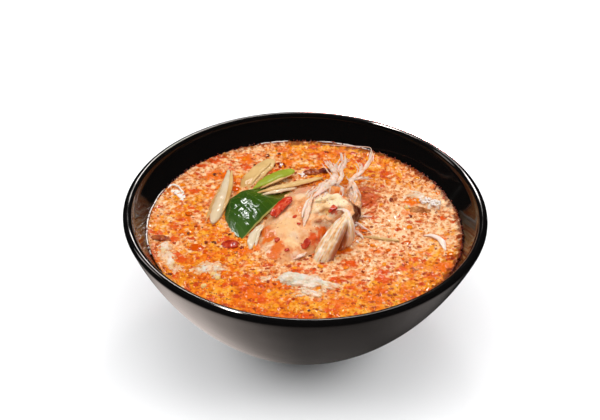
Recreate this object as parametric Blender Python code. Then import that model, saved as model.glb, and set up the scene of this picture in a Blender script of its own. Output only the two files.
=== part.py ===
"""Tom yum soup in a round black bowl, with a prawn, mushrooms, a lime leaf and lemongrass.

Metres, +Z up. The origin is the centre of the ring that the bowl stands on.
"""
import math

import bmesh
import bpy
import numpy as np
from mathutils import Matrix, Vector, noise

MM = 0.001

# The bowl: an 18 cm turned form with one bulging arc for a wall and a rounded lip
RIM_RADIUS = 90.0
BOWL_HEIGHT = 77.0
LIP_RADIUS = 2.3
LIP_TURN = 0.33           # how far the lip's round goes past level before the wall starts, radians
BASE_RADIUS = 30.0
BASE_EDGE = 1.4           # round where the standing ring meets the wall
RING_INNER_RADIUS = 23.0
RECESS_DEPTH = 1.4
OUTER_BULGE = 8.0         # how far each wall arc stands off its straight chord
INNER_BULGE = 5.0
FLOOR_THICKNESS = 7.0
FLOOR_RADIUS = 24.0
FLOOR_DISH = 1.8          # how far the inside dips from the floor's edge to its centre
SEGMENTS = 48

# The soup: a fill up to a level 14 mm below the rim
SOUP_LEVEL = 63.0
MENISCUS_RISE = 0.9
MENISCUS_WIDTH = 3.0
GAP = 0.35                # clearance between neighbours
WALL_GAP = 1.2 * GAP      # the same to the bowl, measured level, where the wall slopes

# The prawn's back, from its front end to its head: x, y, crest height, half width
PRAWN_BACK = (
    (-6, -31, 64.0, 12.0), (-8, -23, 67.6, 14.5), (-6, -12, 71.0, 17.0), (0, -1, 74.0, 19.5),
    (6, 9, 76.0, 18.0), (12, 19, 75.0, 13.0), (17, 29, 70.0, 8.0), (19, 35, 66.5, 4.0),
)
PRAWN_BOTTOM = 57.0
PRAWN_WAIST = SOUP_LEVEL - 2    # the height where the prawn is widest, just under the soup
PRAWN_PLATES = 7
PRAWN_PLATE_STEP = 0.5
PRAWN_CREST = 1.25              # above 1 the back is more peaked than an oval
PRAWN_BLUNTNESS = 5
PRAWN_HEAD = ((15, 5, 66.5), (10.5, 14.0, 9.5), -20)     # centre, half sizes, turn in degrees
# Legs and the feeler, from the root in the head to the tip: route, then half widths
PRAWN_LIMBS = (
    (((4, 9, 73), (9, 17, 75.4), (12.5, 24, 74.6), (13.8, 33, 73.4), (11.8, 48, 72.0)),
     (1.5, 1.2, 0.9, 0.4)),
    (((15, 14, 70), (20, 22, 73.6), (21.8, 30, 74.0), (18.8, 41, 73.6), (20.3, 53, 72.6)),
     (1.6, 1.3, 0.9, 0.4)),
    (((14, 18, 69), (21, 27, 72), (29, 38, 73.6), (33.7, 44.7, 75.4), (34.3, 51, 76.6)),
     (1.3, 0.9, 0.6, 0.35)),
)

# The two gilled caps of an oyster mushroom that lean on the prawn: each is a few ribs of a fan,
# given as pairs of an upper and a lower end, from its left side to its right
LARGE_CAP = (
    ((15.0, -9.5, 76.5), (3.5, -27.5, 62.0)), ((18.0, -12.0, 78.6), (7.5, -30.5, 62.5)),
    ((20.5, -11.5, 78.6), (12.5, -28.0, 61.5)),
)
SMALL_CAP = (
    ((21.0, -9.0, 78.2), (16.0, -22.5, 61.5)), ((23.0, -9.5, 77.6), (21.0, -21.5, 61.8)),
    ((24.5, -7.0, 75.0), (25.8, -15.0, 61.5)),
)
CAP_BOW = 1.6                   # how far each cap stands off the straight line down its middle
GILL_RIDGE = 0.45
CAP_DEPTHS = ((0, 1.4, -1.6), (0, 3.2, -2.6))    # the way through it, at its top and at its foot

# The lime leaf: half a blade, torn along its midrib
LEAF_TIP = (-31, -12)
LEAF_END = (-7.5, 32.5)
LEAF_HALF_WIDTH = 21.4
LEAF_DOME = 3.4
LEAF_TORN_SIDE_BOW = 1.2
LEAF_TORN_SIDE_RISE = 1.8
LEAF_THICKNESS = 1.1
LEAF_FREEBOARD = 0.5            # how far its edge stands out of the soup


def clear_scene():
    for thing in list(bpy.data.objects):
        bpy.data.objects.remove(thing)


def material(name, colour, roughness):
    """A plain Principled finish from an sRGB hex colour."""
    made = bpy.data.materials.new(name)
    made.use_nodes = True
    shader = made.node_tree.nodes["Principled BSDF"]
    channels = [int(colour[i:i + 2], 16) / 255 for i in (1, 3, 5)]
    linear = [c / 12.92 if c <= 0.04045 else ((c + 0.055) / 1.055) ** 2.4 for c in channels]
    shader.inputs["Base Color"].default_value = (*linear, 1)
    shader.inputs["Roughness"].default_value = roughness
    made.diffuse_color = (*linear, 1)
    return made


def body(name, mesh, finish):
    """One closed object from a bmesh in millimetres, faces out, shaded smooth."""
    bmesh.ops.recalc_face_normals(mesh, faces=mesh.faces)
    bmesh.ops.scale(mesh, vec=(MM, MM, MM), verts=mesh.verts)
    data = bpy.data.meshes.new(name)
    mesh.to_mesh(data)
    mesh.free()
    data.shade_smooth()
    data.set_sharp_from_angle(angle=math.radians(40))
    data.materials.append(finish)
    made = bpy.data.objects.new(name, data)
    bpy.context.scene.collection.objects.link(made)
    return made


def arc(start, end, bulge, count):
    """Points of a circle's arc in the (radius, height) plane, bulging to the right of start-end."""
    start, end = Vector(start), Vector(end)
    chord = end - start
    across = Vector((chord.y, -chord.x)).normalized()
    radius = (chord.length_squared / 4 + bulge ** 2) / (2 * bulge)
    centre = (start + end) / 2 + across * (bulge - radius)
    half = math.asin(chord.length / 2 / radius)
    middle = math.atan2(across.y, across.x)
    angles = [middle - half + 2 * half * i / (count - 1) for i in range(count)]
    return [(centre.x + radius * math.cos(a), centre.y + radius * math.sin(a)) for a in angles]


def turned(profile, segments):
    """A solid of revolution about Z from a profile that starts and ends on the axis."""
    mesh = bmesh.new()
    points = [mesh.verts.new((r, 0, z)) for r, z in profile]
    edges = [mesh.edges.new(pair) for pair in zip(points, points[1:])]
    bmesh.ops.spin(mesh, geom=points + edges, axis=(0, 0, 1), cent=(0, 0, 0),
                   angle=2 * math.pi, steps=segments)
    bmesh.ops.remove_doubles(mesh, verts=mesh.verts, dist=1e-3)
    return mesh


def route(points, shares):
    """Rows at the given shares (0 to 1) of the smooth curve through a few rows x, y, z, ..."""
    knots = [np.array(p, float) for p in points]
    knots = [2 * knots[0] - knots[1], *knots, 2 * knots[-1] - knots[-2]]
    dense = []
    for a, b, c, d in zip(knots, knots[1:], knots[2:], knots[3:]):
        for t in np.arange(0, 1, 1 / 16):
            curve = 2 * b + (c - a) * t + (2 * a - 5 * b + 4 * c - d) * t ** 2
            dense.append((curve + (3 * b - a - 3 * c + d) * t ** 3) / 2)
    dense = np.array([*dense, knots[-2]])
    steps = np.linalg.norm(np.diff(dense[:, :3], axis=0), axis=1)
    run = np.concatenate([[0], np.cumsum(steps)])
    columns = [np.interp(np.array(shares) * run[-1], run, column) for column in dense.T]
    return np.array(columns).T


def spread(values, share):
    """A value that changes evenly through the given ones as share goes from 0 to 1."""
    return float(np.interp(share, np.linspace(0, 1, len(values)), values))


def skin(mesh, rings, first, last):
    """Close a row of vertex rings with a point at each end."""
    for a, b in zip(rings, rings[1:]):
        for i in range(len(a)):
            j = (i + 1) % len(a)
            mesh.faces.new((a[i], a[j], b[j], b[i]))
    for ring, tip in ((rings[0], first), (rings[-1], last)):
        for i in range(len(ring)):
            mesh.faces.new((ring[i], ring[(i + 1) % len(ring)], tip))


def strip(name, points, half_widths, half_heights, finish, sides=8, steps=8, blunt=3.0):
    """A long piece of oval section along a smooth route, with rounded ends."""
    shares = [0.5 - 0.5 * math.cos(math.pi * i / steps) for i in range(steps + 1)]
    centres = [Vector(p) for p in route(points, shares)]
    mesh = bmesh.new()
    rings = []
    for i in range(1, steps):
        ahead = (centres[i + 1] - centres[i - 1]).normalized()
        across = ahead.cross(Vector((0, 0, 1))).normalized()
        above = across.cross(ahead)
        closing = math.sqrt(1 - abs(2 * shares[i] - 1) ** blunt)
        width = spread(half_widths, shares[i]) * closing
        height = spread(half_heights, shares[i]) * closing
        turns = [2 * math.pi * k / sides for k in range(sides)]
        ring = [centres[i] + across * width * math.cos(a) + above * height * math.sin(a) for a in turns]
        rings.append([mesh.verts.new(p) for p in ring])
    skin(mesh, rings, mesh.verts.new(centres[0]), mesh.verts.new(centres[-1]))
    return body(name, mesh, finish)


def sheet(name, place, along, across, depths, finish):
    """A curved slab: place(u, v) gives its face, and depths the way through it at both ends."""
    mesh = bmesh.new()
    face, back = [], []
    for i in range(along + 1):
        through = Vector(depths[0]).lerp(Vector(depths[1]), i / along)
        row = [Vector(place(i / along, k / across)) for k in range(across + 1)]
        face.append([mesh.verts.new(p) for p in row])
        back.append([mesh.verts.new(p + through) for p in row])
    for grid in (face, back):
        for a, b in zip(grid, grid[1:]):
            for k in range(across):
                mesh.faces.new((a[k], a[k + 1], b[k + 1], b[k]))
    edges = []
    for grid in (face, back):
        right = [row[-1] for row in grid[1:]]
        left = [row[0] for row in grid[-2:0:-1]]
        edges.append(grid[0] + right + grid[-1][-2::-1] + left)
    for i in range(len(edges[0])):
        mesh.faces.new((edges[0][i - 1], edges[0][i], edges[1][i], edges[1][i - 1]))
    return body(name, mesh, finish)


def lump(name, centre, half_sizes, turn, finish, uneven=0.18, rings=6, sides=10):
    """A rounded, uneven piece, turned about Z by an angle in degrees."""
    mesh = bmesh.new()
    bmesh.ops.create_uvsphere(mesh, u_segments=sides, v_segments=rings, radius=1)
    seat = Vector(centre)
    for point in mesh.verts:
        point.co *= 1 + uneven * noise.noise(point.co * 1.6 + seat)
    scale = Matrix.Diagonal((*half_sizes, 1))
    place = Matrix.Translation(seat) @ Matrix.Rotation(math.radians(turn), 4, "Z") @ scale
    bmesh.ops.transform(mesh, matrix=place, verts=mesh.verts)
    return body(name, mesh, finish)


def grown_copy(source, distance=GAP):
    """A hidden cutter: the same shape, larger all round by the clearance."""
    data = source.data.copy()
    normals = [Vector(n.vector) for n in data.vertex_normals]
    for point, normal in zip(data.vertices, normals):
        point.co += normal * distance * MM
    cutter = bpy.data.objects.new("cutter_" + source.name, data)
    bpy.context.scene.collection.objects.link(cutter)
    cutter.hide_render = True
    cutter.display_type = "WIRE"
    return cutter


def boolean(target, operation, tools):
    """Join or cut an object with a group of others at once."""
    group = bpy.data.collections.new(operation.lower() + "_" + target.name)
    for tool in tools:
        group.objects.link(tool)
    change = target.modifiers.new(group.name, "BOOLEAN")
    change.operation = operation
    change.solver = "EXACT"
    change.operand_type = "COLLECTION"
    change.collection = group


def make_bowl():
    """One turned piece: standing ring, recess, bulging wall, round lip and a dished inside."""
    lip_centre = (RIM_RADIUS - LIP_RADIUS, BOWL_HEIGHT - LIP_RADIUS)

    def lip_point(angle):
        return (lip_centre[0] + LIP_RADIUS * math.cos(angle), lip_centre[1] + LIP_RADIUS * math.sin(angle))

    outer = arc((BASE_RADIUS, BASE_EDGE), lip_point(-LIP_TURN), OUTER_BULGE, 9)
    lip = [lip_point(-LIP_TURN + (math.pi + LIP_TURN) * i / 6) for i in range(1, 7)]
    inner = arc((FLOOR_RADIUS, FLOOR_THICKNESS), lip[-1], INNER_BULGE, 9)[-2::-1]
    base = [(0, RECESS_DEPTH), (RING_INNER_RADIUS - RECESS_DEPTH, RECESS_DEPTH), (RING_INNER_RADIUS, 0),
            (BASE_RADIUS - BASE_EDGE, 0), (BASE_RADIUS - BASE_EDGE * 0.3, BASE_EDGE * 0.4)]
    dish = [(FLOOR_RADIUS / 2, FLOOR_THICKNESS - 0.75 * FLOOR_DISH), (0, FLOOR_THICKNESS - FLOOR_DISH)]
    return body("bowl", turned(base + outer + lip + inner + dish, SEGMENTS),
                material("black_glaze", "#101011", 0.12))


def inside_radius(height):
    """The radius of the bowl's inside at a height above its dished floor."""
    lip_end = (RIM_RADIUS - 2 * LIP_RADIUS, BOWL_HEIGHT - LIP_RADIUS)
    points = arc((FLOOR_RADIUS, FLOOR_THICKNESS), lip_end, INNER_BULGE, 200)
    return float(np.interp(height, [z for _, z in points], [r for r, _ in points]))


def make_soup():
    """The fill: it follows the bowl's inside and climbs a little where it wets the wall."""
    levels = [*np.linspace(FLOOR_THICKNESS + 2 * GAP, SOUP_LEVEL, 8), SOUP_LEVEL + MENISCUS_RISE]
    side = [(inside_radius(z) - WALL_GAP, z) for z in levels]
    top = [(side[-1][0] - MENISCUS_WIDTH, SOUP_LEVEL), (0, SOUP_LEVEL)]
    underside = FLOOR_THICKNESS - FLOOR_DISH + 2 * GAP
    bottom = [(0, underside), (FLOOR_RADIUS / 2, underside + FLOOR_DISH / 4)]
    return body("soup", turned(bottom + side + top, SEGMENTS), material("creamy_broth", "#ef8a45", 0.2))


def make_prawn():
    """A prawn with its back up: overlapping plates, a head, two thin legs and a feeler."""
    finish = material("cooked_prawn", "#f2a06f", 0.3)
    steps, sides = 18, 14
    shares = [0.5 - 0.5 * math.cos(math.pi * i / steps) for i in range(steps + 1)]
    back = route(PRAWN_BACK, shares)
    mesh = bmesh.new()
    rings = []
    for i in range(1, steps):
        x, y, crest, half_width = back[i]
        ahead = back[i + 1] - back[i - 1]
        across = Vector((ahead[1], -ahead[0], 0)).normalized()
        plate = (shares[i] * PRAWN_PLATES) % 1
        rise = crest + PRAWN_PLATE_STEP * (plate - 0.5) - PRAWN_WAIST
        drop = PRAWN_WAIST - PRAWN_BOTTOM
        closing = math.sqrt(1 - abs(2 * shares[i] - 1) ** PRAWN_BLUNTNESS)
        ring = []
        for k in range(sides):
            angle = 2 * math.pi * k / sides
            up = math.sin(angle)
            level = rise * up ** PRAWN_CREST if up > 0 else drop * up
            middle = Vector((x, y, PRAWN_WAIST + level))
            ring.append(mesh.verts.new(middle + across * half_width * closing * math.cos(angle)))
        rings.append(ring)
    ends = [mesh.verts.new((back[i][0], back[i][1], PRAWN_WAIST)) for i in (0, -1)]
    skin(mesh, rings, *ends)
    prawn = body("prawn", mesh, finish)
    added = [lump("prawn_head", *PRAWN_HEAD, finish)]
    for number, (points, half_widths) in enumerate(PRAWN_LIMBS):
        added.append(strip("prawn_limb_%d" % number, points, half_widths, half_widths, finish, 6, 9))
    for piece in added:
        piece.hide_render = True
        piece.display_type = "WIRE"
    boolean(prawn, "UNION", added)
    return prawn, added


def make_cap(name, ribs, ridges, across):
    """A mushroom cap on edge: its gilled face is a bowed fan with ridges down it."""
    shares = [k / across for k in range(across + 1)]
    upper = route([top for top, _ in ribs], shares)
    lower = route([foot for _, foot in ribs], shares)

    def place(u, v):
        column = round(v * across)
        ridge = GILL_RIDGE * abs(math.sin(math.pi * ridges * v)) * min(1, 4 * u)
        proud = Vector((0, -0.6, 0.8)) * (CAP_BOW * math.sin(math.pi * u) + ridge)
        return Vector(upper[column]).lerp(Vector(lower[column]), u) + proud

    return sheet(name, place, 5, across, CAP_DEPTHS, material(name, "#edbf95", 0.4))


def make_leaf():
    """A glossy half blade: one long curved side, a straight torn side and a domed face."""
    tip, end = Vector((*LEAF_TIP, 0)), Vector((*LEAF_END, 0))
    axis = end - tip
    outward = Vector((-axis.y, axis.x, 0)).normalized()

    def place(u, v):
        share = 0.012 + 0.976 * u
        curved = LEAF_HALF_WIDTH * math.sin(math.pi * share ** 0.93) ** 0.75
        torn = -LEAF_TORN_SIDE_BOW * math.sin(math.pi * share)
        away = curved + (torn - curved) * v
        arch = 1 - (2 * v - 1) ** 2
        crown = max(0, math.sin(math.pi * min(1, share / 0.82)))
        height = SOUP_LEVEL + LEAF_FREEBOARD + crown * (LEAF_DOME * arch + LEAF_TORN_SIDE_RISE * v)
        return tip + axis * share + outward * away + Vector((0, 0, height))

    down = (0, 0, -LEAF_THICKNESS)
    return sheet("lime_leaf", place, 12, 6, (down, down), material("glossy_leaf", "#43561a", 0.2))


clear_scene()
bowl = make_bowl()
soup = make_soup()
prawn, prawn_parts = make_prawn()

mushroom = material("mushroom_flesh", "#e8cbae", 0.45)
pale_stem = material("lemongrass_white", "#e6c59d", 0.35)
olive_stem = material("lemongrass_olive", "#d9b065", 0.35)
green_stem = material("lemongrass_green", "#b2b23a", 0.3)
red_chilli = material("red_chilli", "#d8432a", 0.2)
dark_chilli = material("dried_chilli", "#6e1f10", 0.3)
tomato = material("cooked_tomato", "#d8643c", 0.25)
onion = material("white_onion", "#efd9c4", 0.3)

caps = [make_cap("oyster_cap_large", LARGE_CAP, 5, 15), make_cap("oyster_cap_small", SMALL_CAP, 3, 9)]
leaf = make_leaf()

# On the prawn
on_prawn = [
    strip("chilli_slice", ((-16.5, -1.5, 69.6), (-12.6, 3.4, 72.0), (-7.0, 8.6, 74.2)),
          (2.4, 2.9, 2.2), (1.3, 1.5, 1.2), red_chilli),
    strip("oyster_shred", ((4.6, 10.5, 77.0), (2.2, 4.0, 76.0), (0.4, -3.4, 74.2), (-1.4, -11, 71.6)),
          (0.8, 1.6, 1.9, 1.1), (0.9, 1.0, 1.1, 0.8), mushroom),
    strip("lemongrass_husk", ((-26.4, -19.5, 63.4), (-25.2, -11.8, 65.0), (-21.8, -3.4, 66.4)),
          (1.1, 2.1, 1.3), (0.9, 1.1, 0.8), pale_stem),
]

# Lemongrass cut on the slant, afloat behind the leaf
lemongrass = [
    strip("lemongrass_white",
          ((-41.8, 48.5, 64.4), (-42.0, 33.1, 65.0), (-44.2, 15.1, 64.9), (-47.6, 1.4, 63.8)),
          (1.5, 2.3, 3.6, 3.8), (1.3, 1.8, 2.6, 2.2), pale_stem, sides=10, steps=12),
    strip("lemongrass_slice", ((-31.2, 31.5, 64.2), (-28.0, 41.5, 64.6), (-21.2, 57.0, 64.4)),
          (2.4, 4.8, 3.6), (1.0, 1.2, 1.0), olive_stem),
    strip("lemongrass_green", ((-26.0, 29.5, 66.4), (-18.4, 36.8, 67.2), (-8.4, 45.4, 66.4)),
          (1.4, 3.3, 3.0), (0.9, 1.3, 1.1), green_stem),
    strip("lemongrass_strip",
          ((-25.4, 24.6, 66.0), (-16.6, 29.5, 65.8), (-6.3, 34.7, 65.2), (9.0, 42.4, 64.4)),
          (1.2, 1.9, 2.0, 1.7), (0.9, 0.9, 0.9, 0.9), olive_stem),
    strip("lemongrass_sliver", ((27.3, -7.3, 63.6), (36.6, -8.7, 63.8), (46.9, -10.6, 63.6)),
          (0.8, 1.0, 1.0), (0.8, 0.9, 0.9), pale_stem, 6, 6),
]

# Chilli, tomato and onion in the surface of the soup
floating = [
    strip("chilli_piece", ((-41.0, -17.0, 63.4), (-36.5, -16.4, 63.7), (-31.6, -15.6, 63.4)),
          (2.4, 3.4, 2.4), (0.9, 1.1, 0.9), red_chilli, 8, 6),
    strip("chilli_skin", ((-74.6, -13.6, 63.6), (-71.4, -12.6, 64.1), (-66.8, -12.2, 63.4)),
          (1.6, 2.3, 1.4), (0.7, 0.9, 0.7), dark_chilli, 8, 6),
    strip("chilli_dried", ((1.4, 48.8, 63.5), (6.7, 49.4, 63.9), (12.0, 50.9, 63.5)),
          (1.9, 2.6, 1.9), (0.9, 1.1, 0.9), dark_chilli, 8, 6),
    strip("tomato_wedge", ((28, 13, 62.6), (33, 23, 63.4), (37.5, 35, 62.6)),
          (4.6, 6.6, 5.0), (2.6, 3.4, 2.6), tomato),
    strip("onion_arc", ((59.1, -5.2, 63.4), (63.8, -6.4, 63.8), (67.4, -10.0, 63.8), (69.0, -17.0, 63.3)),
          (0.9, 1.3, 1.6, 1.0), (0.8, 0.9, 1.0, 0.8), onion),
    strip("onion_sliver",
          ((-71.2, 30.0, 64.2), (-69.4, 33.4, 65.2), (-65.4, 31.2, 64.6), (-62.6, 26.4, 63.6)),
          (0.9, 1.3, 1.3, 0.9), (0.8, 0.9, 0.9, 0.7), onion),
]

# Mushroom halves that ride low in the soup: centre, half sizes, turn
MUSHROOM_HALVES = (
    ((1.0, -43.6, 62.0), (17.0, 5.6, 3.8), -6), ((4.0, -52.6, 62.6), (5.6, 2.3, 2.0), -20),
    ((-44.5, -34.0, 62.2), (5.6, 4.6, 3.0), 30), ((-66.0, -28.0, 62.2), (9.5, 4.4, 3.0), 113),
    ((57.5, 30.5, 62.4), (5.0, 3.8, 2.8), -15), ((66.0, 22.5, 62.6), (4.4, 3.8, 2.8), 70),
    ((57.6, 17.6, 62.4), (5.0, 2.4, 2.2), 0),
)
halves = []
for number, (centre, half_sizes, turn) in enumerate(MUSHROOM_HALVES, 1):
    halves.append(lump("mushroom_%d" % number, centre, half_sizes, turn, mushroom))

# Each lower piece gives way to what lies on or in it
prawn_cutters = [grown_copy(piece) for piece in [prawn, *prawn_parts]]
top_cutters = [grown_copy(piece) for piece in [*caps, *on_prawn]]
surface_cutters = [grown_copy(piece) for piece in [leaf, *lemongrass, *floating, *halves]]
boolean(prawn, "DIFFERENCE", top_cutters)
boolean(leaf, "DIFFERENCE", prawn_cutters)
boolean(soup, "DIFFERENCE", prawn_cutters + top_cutters + surface_cutters)
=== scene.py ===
"""A bowl of tom yum soup, finished around the frame of its solids: metres, +Z up."""
import math
import random

import bmesh
import bpy
import numpy as np
from mathutils import Matrix, Quaternion, Vector, noise
from mathutils.bvhtree import BVHTree


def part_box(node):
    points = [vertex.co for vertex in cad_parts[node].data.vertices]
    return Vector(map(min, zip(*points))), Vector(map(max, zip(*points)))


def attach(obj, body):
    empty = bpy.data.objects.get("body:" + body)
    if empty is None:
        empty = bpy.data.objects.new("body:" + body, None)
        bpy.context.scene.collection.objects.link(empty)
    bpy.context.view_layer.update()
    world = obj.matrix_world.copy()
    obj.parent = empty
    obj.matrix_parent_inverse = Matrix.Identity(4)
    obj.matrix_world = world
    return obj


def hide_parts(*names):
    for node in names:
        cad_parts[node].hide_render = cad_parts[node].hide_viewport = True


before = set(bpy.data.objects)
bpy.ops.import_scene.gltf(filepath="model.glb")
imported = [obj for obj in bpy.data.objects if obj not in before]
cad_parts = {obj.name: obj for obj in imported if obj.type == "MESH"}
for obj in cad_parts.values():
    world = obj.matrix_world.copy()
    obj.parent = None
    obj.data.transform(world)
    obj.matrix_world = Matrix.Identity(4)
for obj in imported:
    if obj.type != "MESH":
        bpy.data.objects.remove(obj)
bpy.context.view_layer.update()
MM = 0.001
scene = bpy.context.scene


# ---------------------------------------------------------------------------------------------
# The table and the studio: a flat white table under large soft lamps, in a pale room that the gloss
# does not see, so that the black bowl mirrors only the soup, the food and the lamps, some standing in for
# the table.

def tint(code):
    """Linear colour from an sRGB hex value."""
    channels = [int(code[i:i + 2], 16) / 255 for i in (1, 3, 5)]
    return (*[c / 12.92 if c <= 0.04045 else ((c + 0.055) / 1.055) ** 2.4 for c in channels], 1)


def feed(socket, value):
    """Give an input its value, which may be a hex colour, a socket or a node's first output."""
    if isinstance(value, bpy.types.Node):
        value = value.outputs[0]
    if isinstance(value, bpy.types.NodeSocket):
        socket.id_data.links.new(value, socket)
    elif isinstance(value, str) and value.startswith("#"):
        socket.default_value = tint(value)
    else:
        socket.default_value = value


def node(tree, kind, feeds=(), stops=None, **settings):
    """Add one node, such as ShaderNodeMath:ADD, with its settings, its stops and what feeds its inputs."""
    kind, _, operation = kind.partition(":")
    made = tree.nodes.new(kind)
    if operation:
        made.operation = operation
    for name, value in settings.items():
        setattr(made, name, value)
    if stops:
        ramp = made.color_ramp.elements
        while len(ramp) < len(stops):
            ramp.new(1)
        for element, (place, colour) in zip(ramp, stops):
            element.position = place
            element.color = tint(colour)
    for key, value in (feeds.items() if isinstance(feeds, dict) else enumerate(feeds)):
        feed(made.inputs[key], value)
    return made


def finish(name, **sockets):
    """A new material: its tree, and its Principled shader with the given plain values."""
    made = bpy.data.materials.new(name)
    made.use_nodes = True
    tree = made.node_tree
    shader = tree.nodes["Principled BSDF"]
    for key, value in sockets.items():
        shader.inputs[key.replace("_", " ")].default_value = value
    return made, tree, shader


def piece(name, mesh, finished, smooth=True):
    """An object at the origin from a mesh or a bmesh, with its finish."""
    if isinstance(mesh, bmesh.types.BMesh):
        data = bpy.data.meshes.new(name)
        mesh.to_mesh(data)
        mesh.free()
        mesh = data
    mesh.materials.clear()
    mesh.materials.append(finished)
    mesh.polygons.foreach_set("use_smooth", [smooth] * len(mesh.polygons))
    made = bpy.data.objects.new(name, mesh)
    scene.collection.objects.link(made)
    return made


def softbox(name, place, aim, width, depth, power, colour="#ffffff", roll=0.0, faded=False):
    """A flat lamp at a place, turned to its aim; a faded one is brightest in its middle."""
    lamp = bpy.data.lights.new(name, "AREA")
    lamp.shape = "RECTANGLE"
    lamp.size, lamp.size_y = width, depth
    lamp.energy = power
    lamp.color = tint(colour)[:3]
    made = bpy.data.objects.new(name, lamp)
    made.location = place
    turn = (Vector(aim) - Vector(place)).to_track_quat("-Z", "Y")
    made.rotation_euler = (turn @ Quaternion((0, 0, 1), math.radians(roll))).to_euler()
    if faded:
        lamp.use_nodes = True
        tree = lamp.node_tree
        face = node(tree, "ShaderNodeNewGeometry").outputs["Parametric"]
        face = node(tree, "ShaderNodeSeparateXYZ", [face]).outputs
        share = 2.6                         # keeps the power, though the edges are dim
        for side in ("X", "Y"):
            out = node(tree, "ShaderNodeMath:ABSOLUTE", [
                node(tree, "ShaderNodeMath:MULTIPLY_ADD", [face[side], 2.0, -1.0])])
            share = node(tree, "ShaderNodeMath:MULTIPLY", [
                share,
                node(tree, "ShaderNodeMath:SUBTRACT", [
                    1.0,
                    node(tree, "ShaderNodeMapRange", [out, 0.1, 1.0], interpolation_type="SMOOTHSTEP")])])
        feed(tree.nodes["Emission"].inputs["Strength"], share)
    scene.collection.objects.link(made)
    return made


def lights_only(lamp, *pieces):
    """Let a lamp light the given pieces alone."""
    lamp.light_linking.receiver_collection = bpy.data.collections.new(lamp.name + "_lights")
    for lit in pieces:
        lamp.light_linking.receiver_collection.objects.link(lit)


white_acrylic = finish("white_acrylic_light_table", Base_Color=tint("#ececec"), Roughness=0.9)[0]
table = bmesh.new()
bmesh.ops.create_grid(table, x_segments=1, y_segments=1, size=3.0)
table = piece("table", table, white_acrylic)
table.visible_glossy = False            # lamps under the lip stand in for what the gloss mirrors of it

key = softbox("key_softbox", (-0.08, -0.08, 1.1), (0, 0, 0), 1.5, 1.3, 11.8)
key.visible_glossy = False              # a diffuser so wide that the gloss shows no edge of it
lights_only(key, table)
# It lights everything but the table, which has lamps of its own
key.light_linking.receiver_collection.collection_objects[0].light_linking.link_state = "EXCLUDE"
for name, place, power in (("left", (-1.0, -0.06, 0.84), 12.3), ("right", (1.0, -0.06, 0.84), 12.3),
                           ("top", (0, -0.12, 1.0), 5.6)):
    table_lamp = softbox("table_softbox_" + name, place, (0, 0, 0), 0.9, 0.8, power)
    table_lamp.visible_glossy = False
    lights_only(table_lamp, table)
left_window = softbox("left_window", (-0.62, 0.25, 0.52), (0, 0, 0.06), 0.12, 0.3, 1.5)
left_window.visible_diffuse = False
softbox("back_window", (0.1, 0.62, 0.85), (0, 0, 0.06), 0.16, 0.12, 1.2)

scene.world = bpy.data.worlds.new("pale_room")
scene.world.use_nodes = True
scene.world.node_tree.nodes["Background"].inputs["Color"].default_value = tint("#fbfcff")
scene.world.node_tree.nodes["Background"].inputs["Strength"].default_value = 0.5
scene.world.cycles_visibility.glossy = False    # the gloss meets a dark room instead
scene.view_settings.view_transform = "Standard"

CAMERA_RISE = math.radians(37.25)       # the camera looks down on the bowl at this angle
CAMERA_REACH = 0.6593                   # from a point in the bowl 50 mm up
CAMERA_TILT, CAMERA_PAN, CAMERA_ROLL = (math.radians(a) for a in (1.67, 0.29, 1.15))
lens = bpy.data.cameras.new("camera")
lens.lens = 78
camera = bpy.data.objects.new("camera", lens)
turn = Matrix.Rotation(CAMERA_PAN, 4, "Z")
turn = turn @ Matrix.Rotation(math.pi / 2 - CAMERA_RISE + CAMERA_TILT, 4, "X")
turn = turn @ Matrix.Rotation(CAMERA_ROLL, 4, "Z")
place = (0, -CAMERA_REACH * math.cos(CAMERA_RISE), CAMERA_REACH * math.sin(CAMERA_RISE) + 0.05)
camera.matrix_world = Matrix.Translation(place) @ turn
scene.collection.objects.link(camera)
scene.camera = camera


# ---------------------------------------------------------------------------------------------
# The bowl: a turned form in black high-gloss melamine, pressed in one piece, with a rolled lip
# and a recessed foot. Its gloss is deep and clear, and the wall waves by a few hundredths of a
# millimetre, as pressed melamine does, so that what it mirrors wavers.

bowl_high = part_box("bowl")[1]
RIM_RADIUS = bowl_high[0]
BOWL_HEIGHT = bowl_high[2]
LIP_RADIUS = 2.3 * MM
LIP_TURN = 0.33
FOOT_RADIUS = 30 * MM
FOOT_EDGE = 1.4 * MM
RECESS_RADIUS = 23 * MM
OUTER_BULGE = 8 * MM
INNER_BULGE = 5 * MM
FLOOR_LEVEL = 7 * MM
FLOOR_RADIUS = 24 * MM


def arc(start, end, bulge, count):
    """Points along a circle's arc in the (radius, height) plane, bulging right of start-end."""
    start, end = Vector(start), Vector(end)
    chord = end - start
    across = Vector((chord.y, -chord.x)).normalized()
    radius = (chord.length_squared / 4 + bulge ** 2) / (2 * bulge)
    centre = (start + end) / 2 + across * (bulge - radius)
    half = math.asin(chord.length / 2 / radius)
    middle = math.atan2(across.y, across.x)
    angles = [middle - half + 2 * half * i / (count - 1) for i in range(count)]
    return [(centre.x + radius * math.cos(a), centre.y + radius * math.sin(a)) for a in angles]


def turned(profile, segments):
    """A solid of revolution about Z from a profile that starts and ends on the axis."""
    mesh = bmesh.new()
    points = [mesh.verts.new((r, 0, z)) for r, z in profile]
    edges = [mesh.edges.new(pair) for pair in zip(points, points[1:])]
    bmesh.ops.spin(mesh, geom=points + edges, axis=(0, 0, 1), cent=(0, 0, 0), angle=2 * math.pi,
                   steps=segments)
    bmesh.ops.remove_doubles(mesh, verts=mesh.verts, dist=1e-6)
    bmesh.ops.recalc_face_normals(mesh, faces=mesh.faces)
    return mesh


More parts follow.
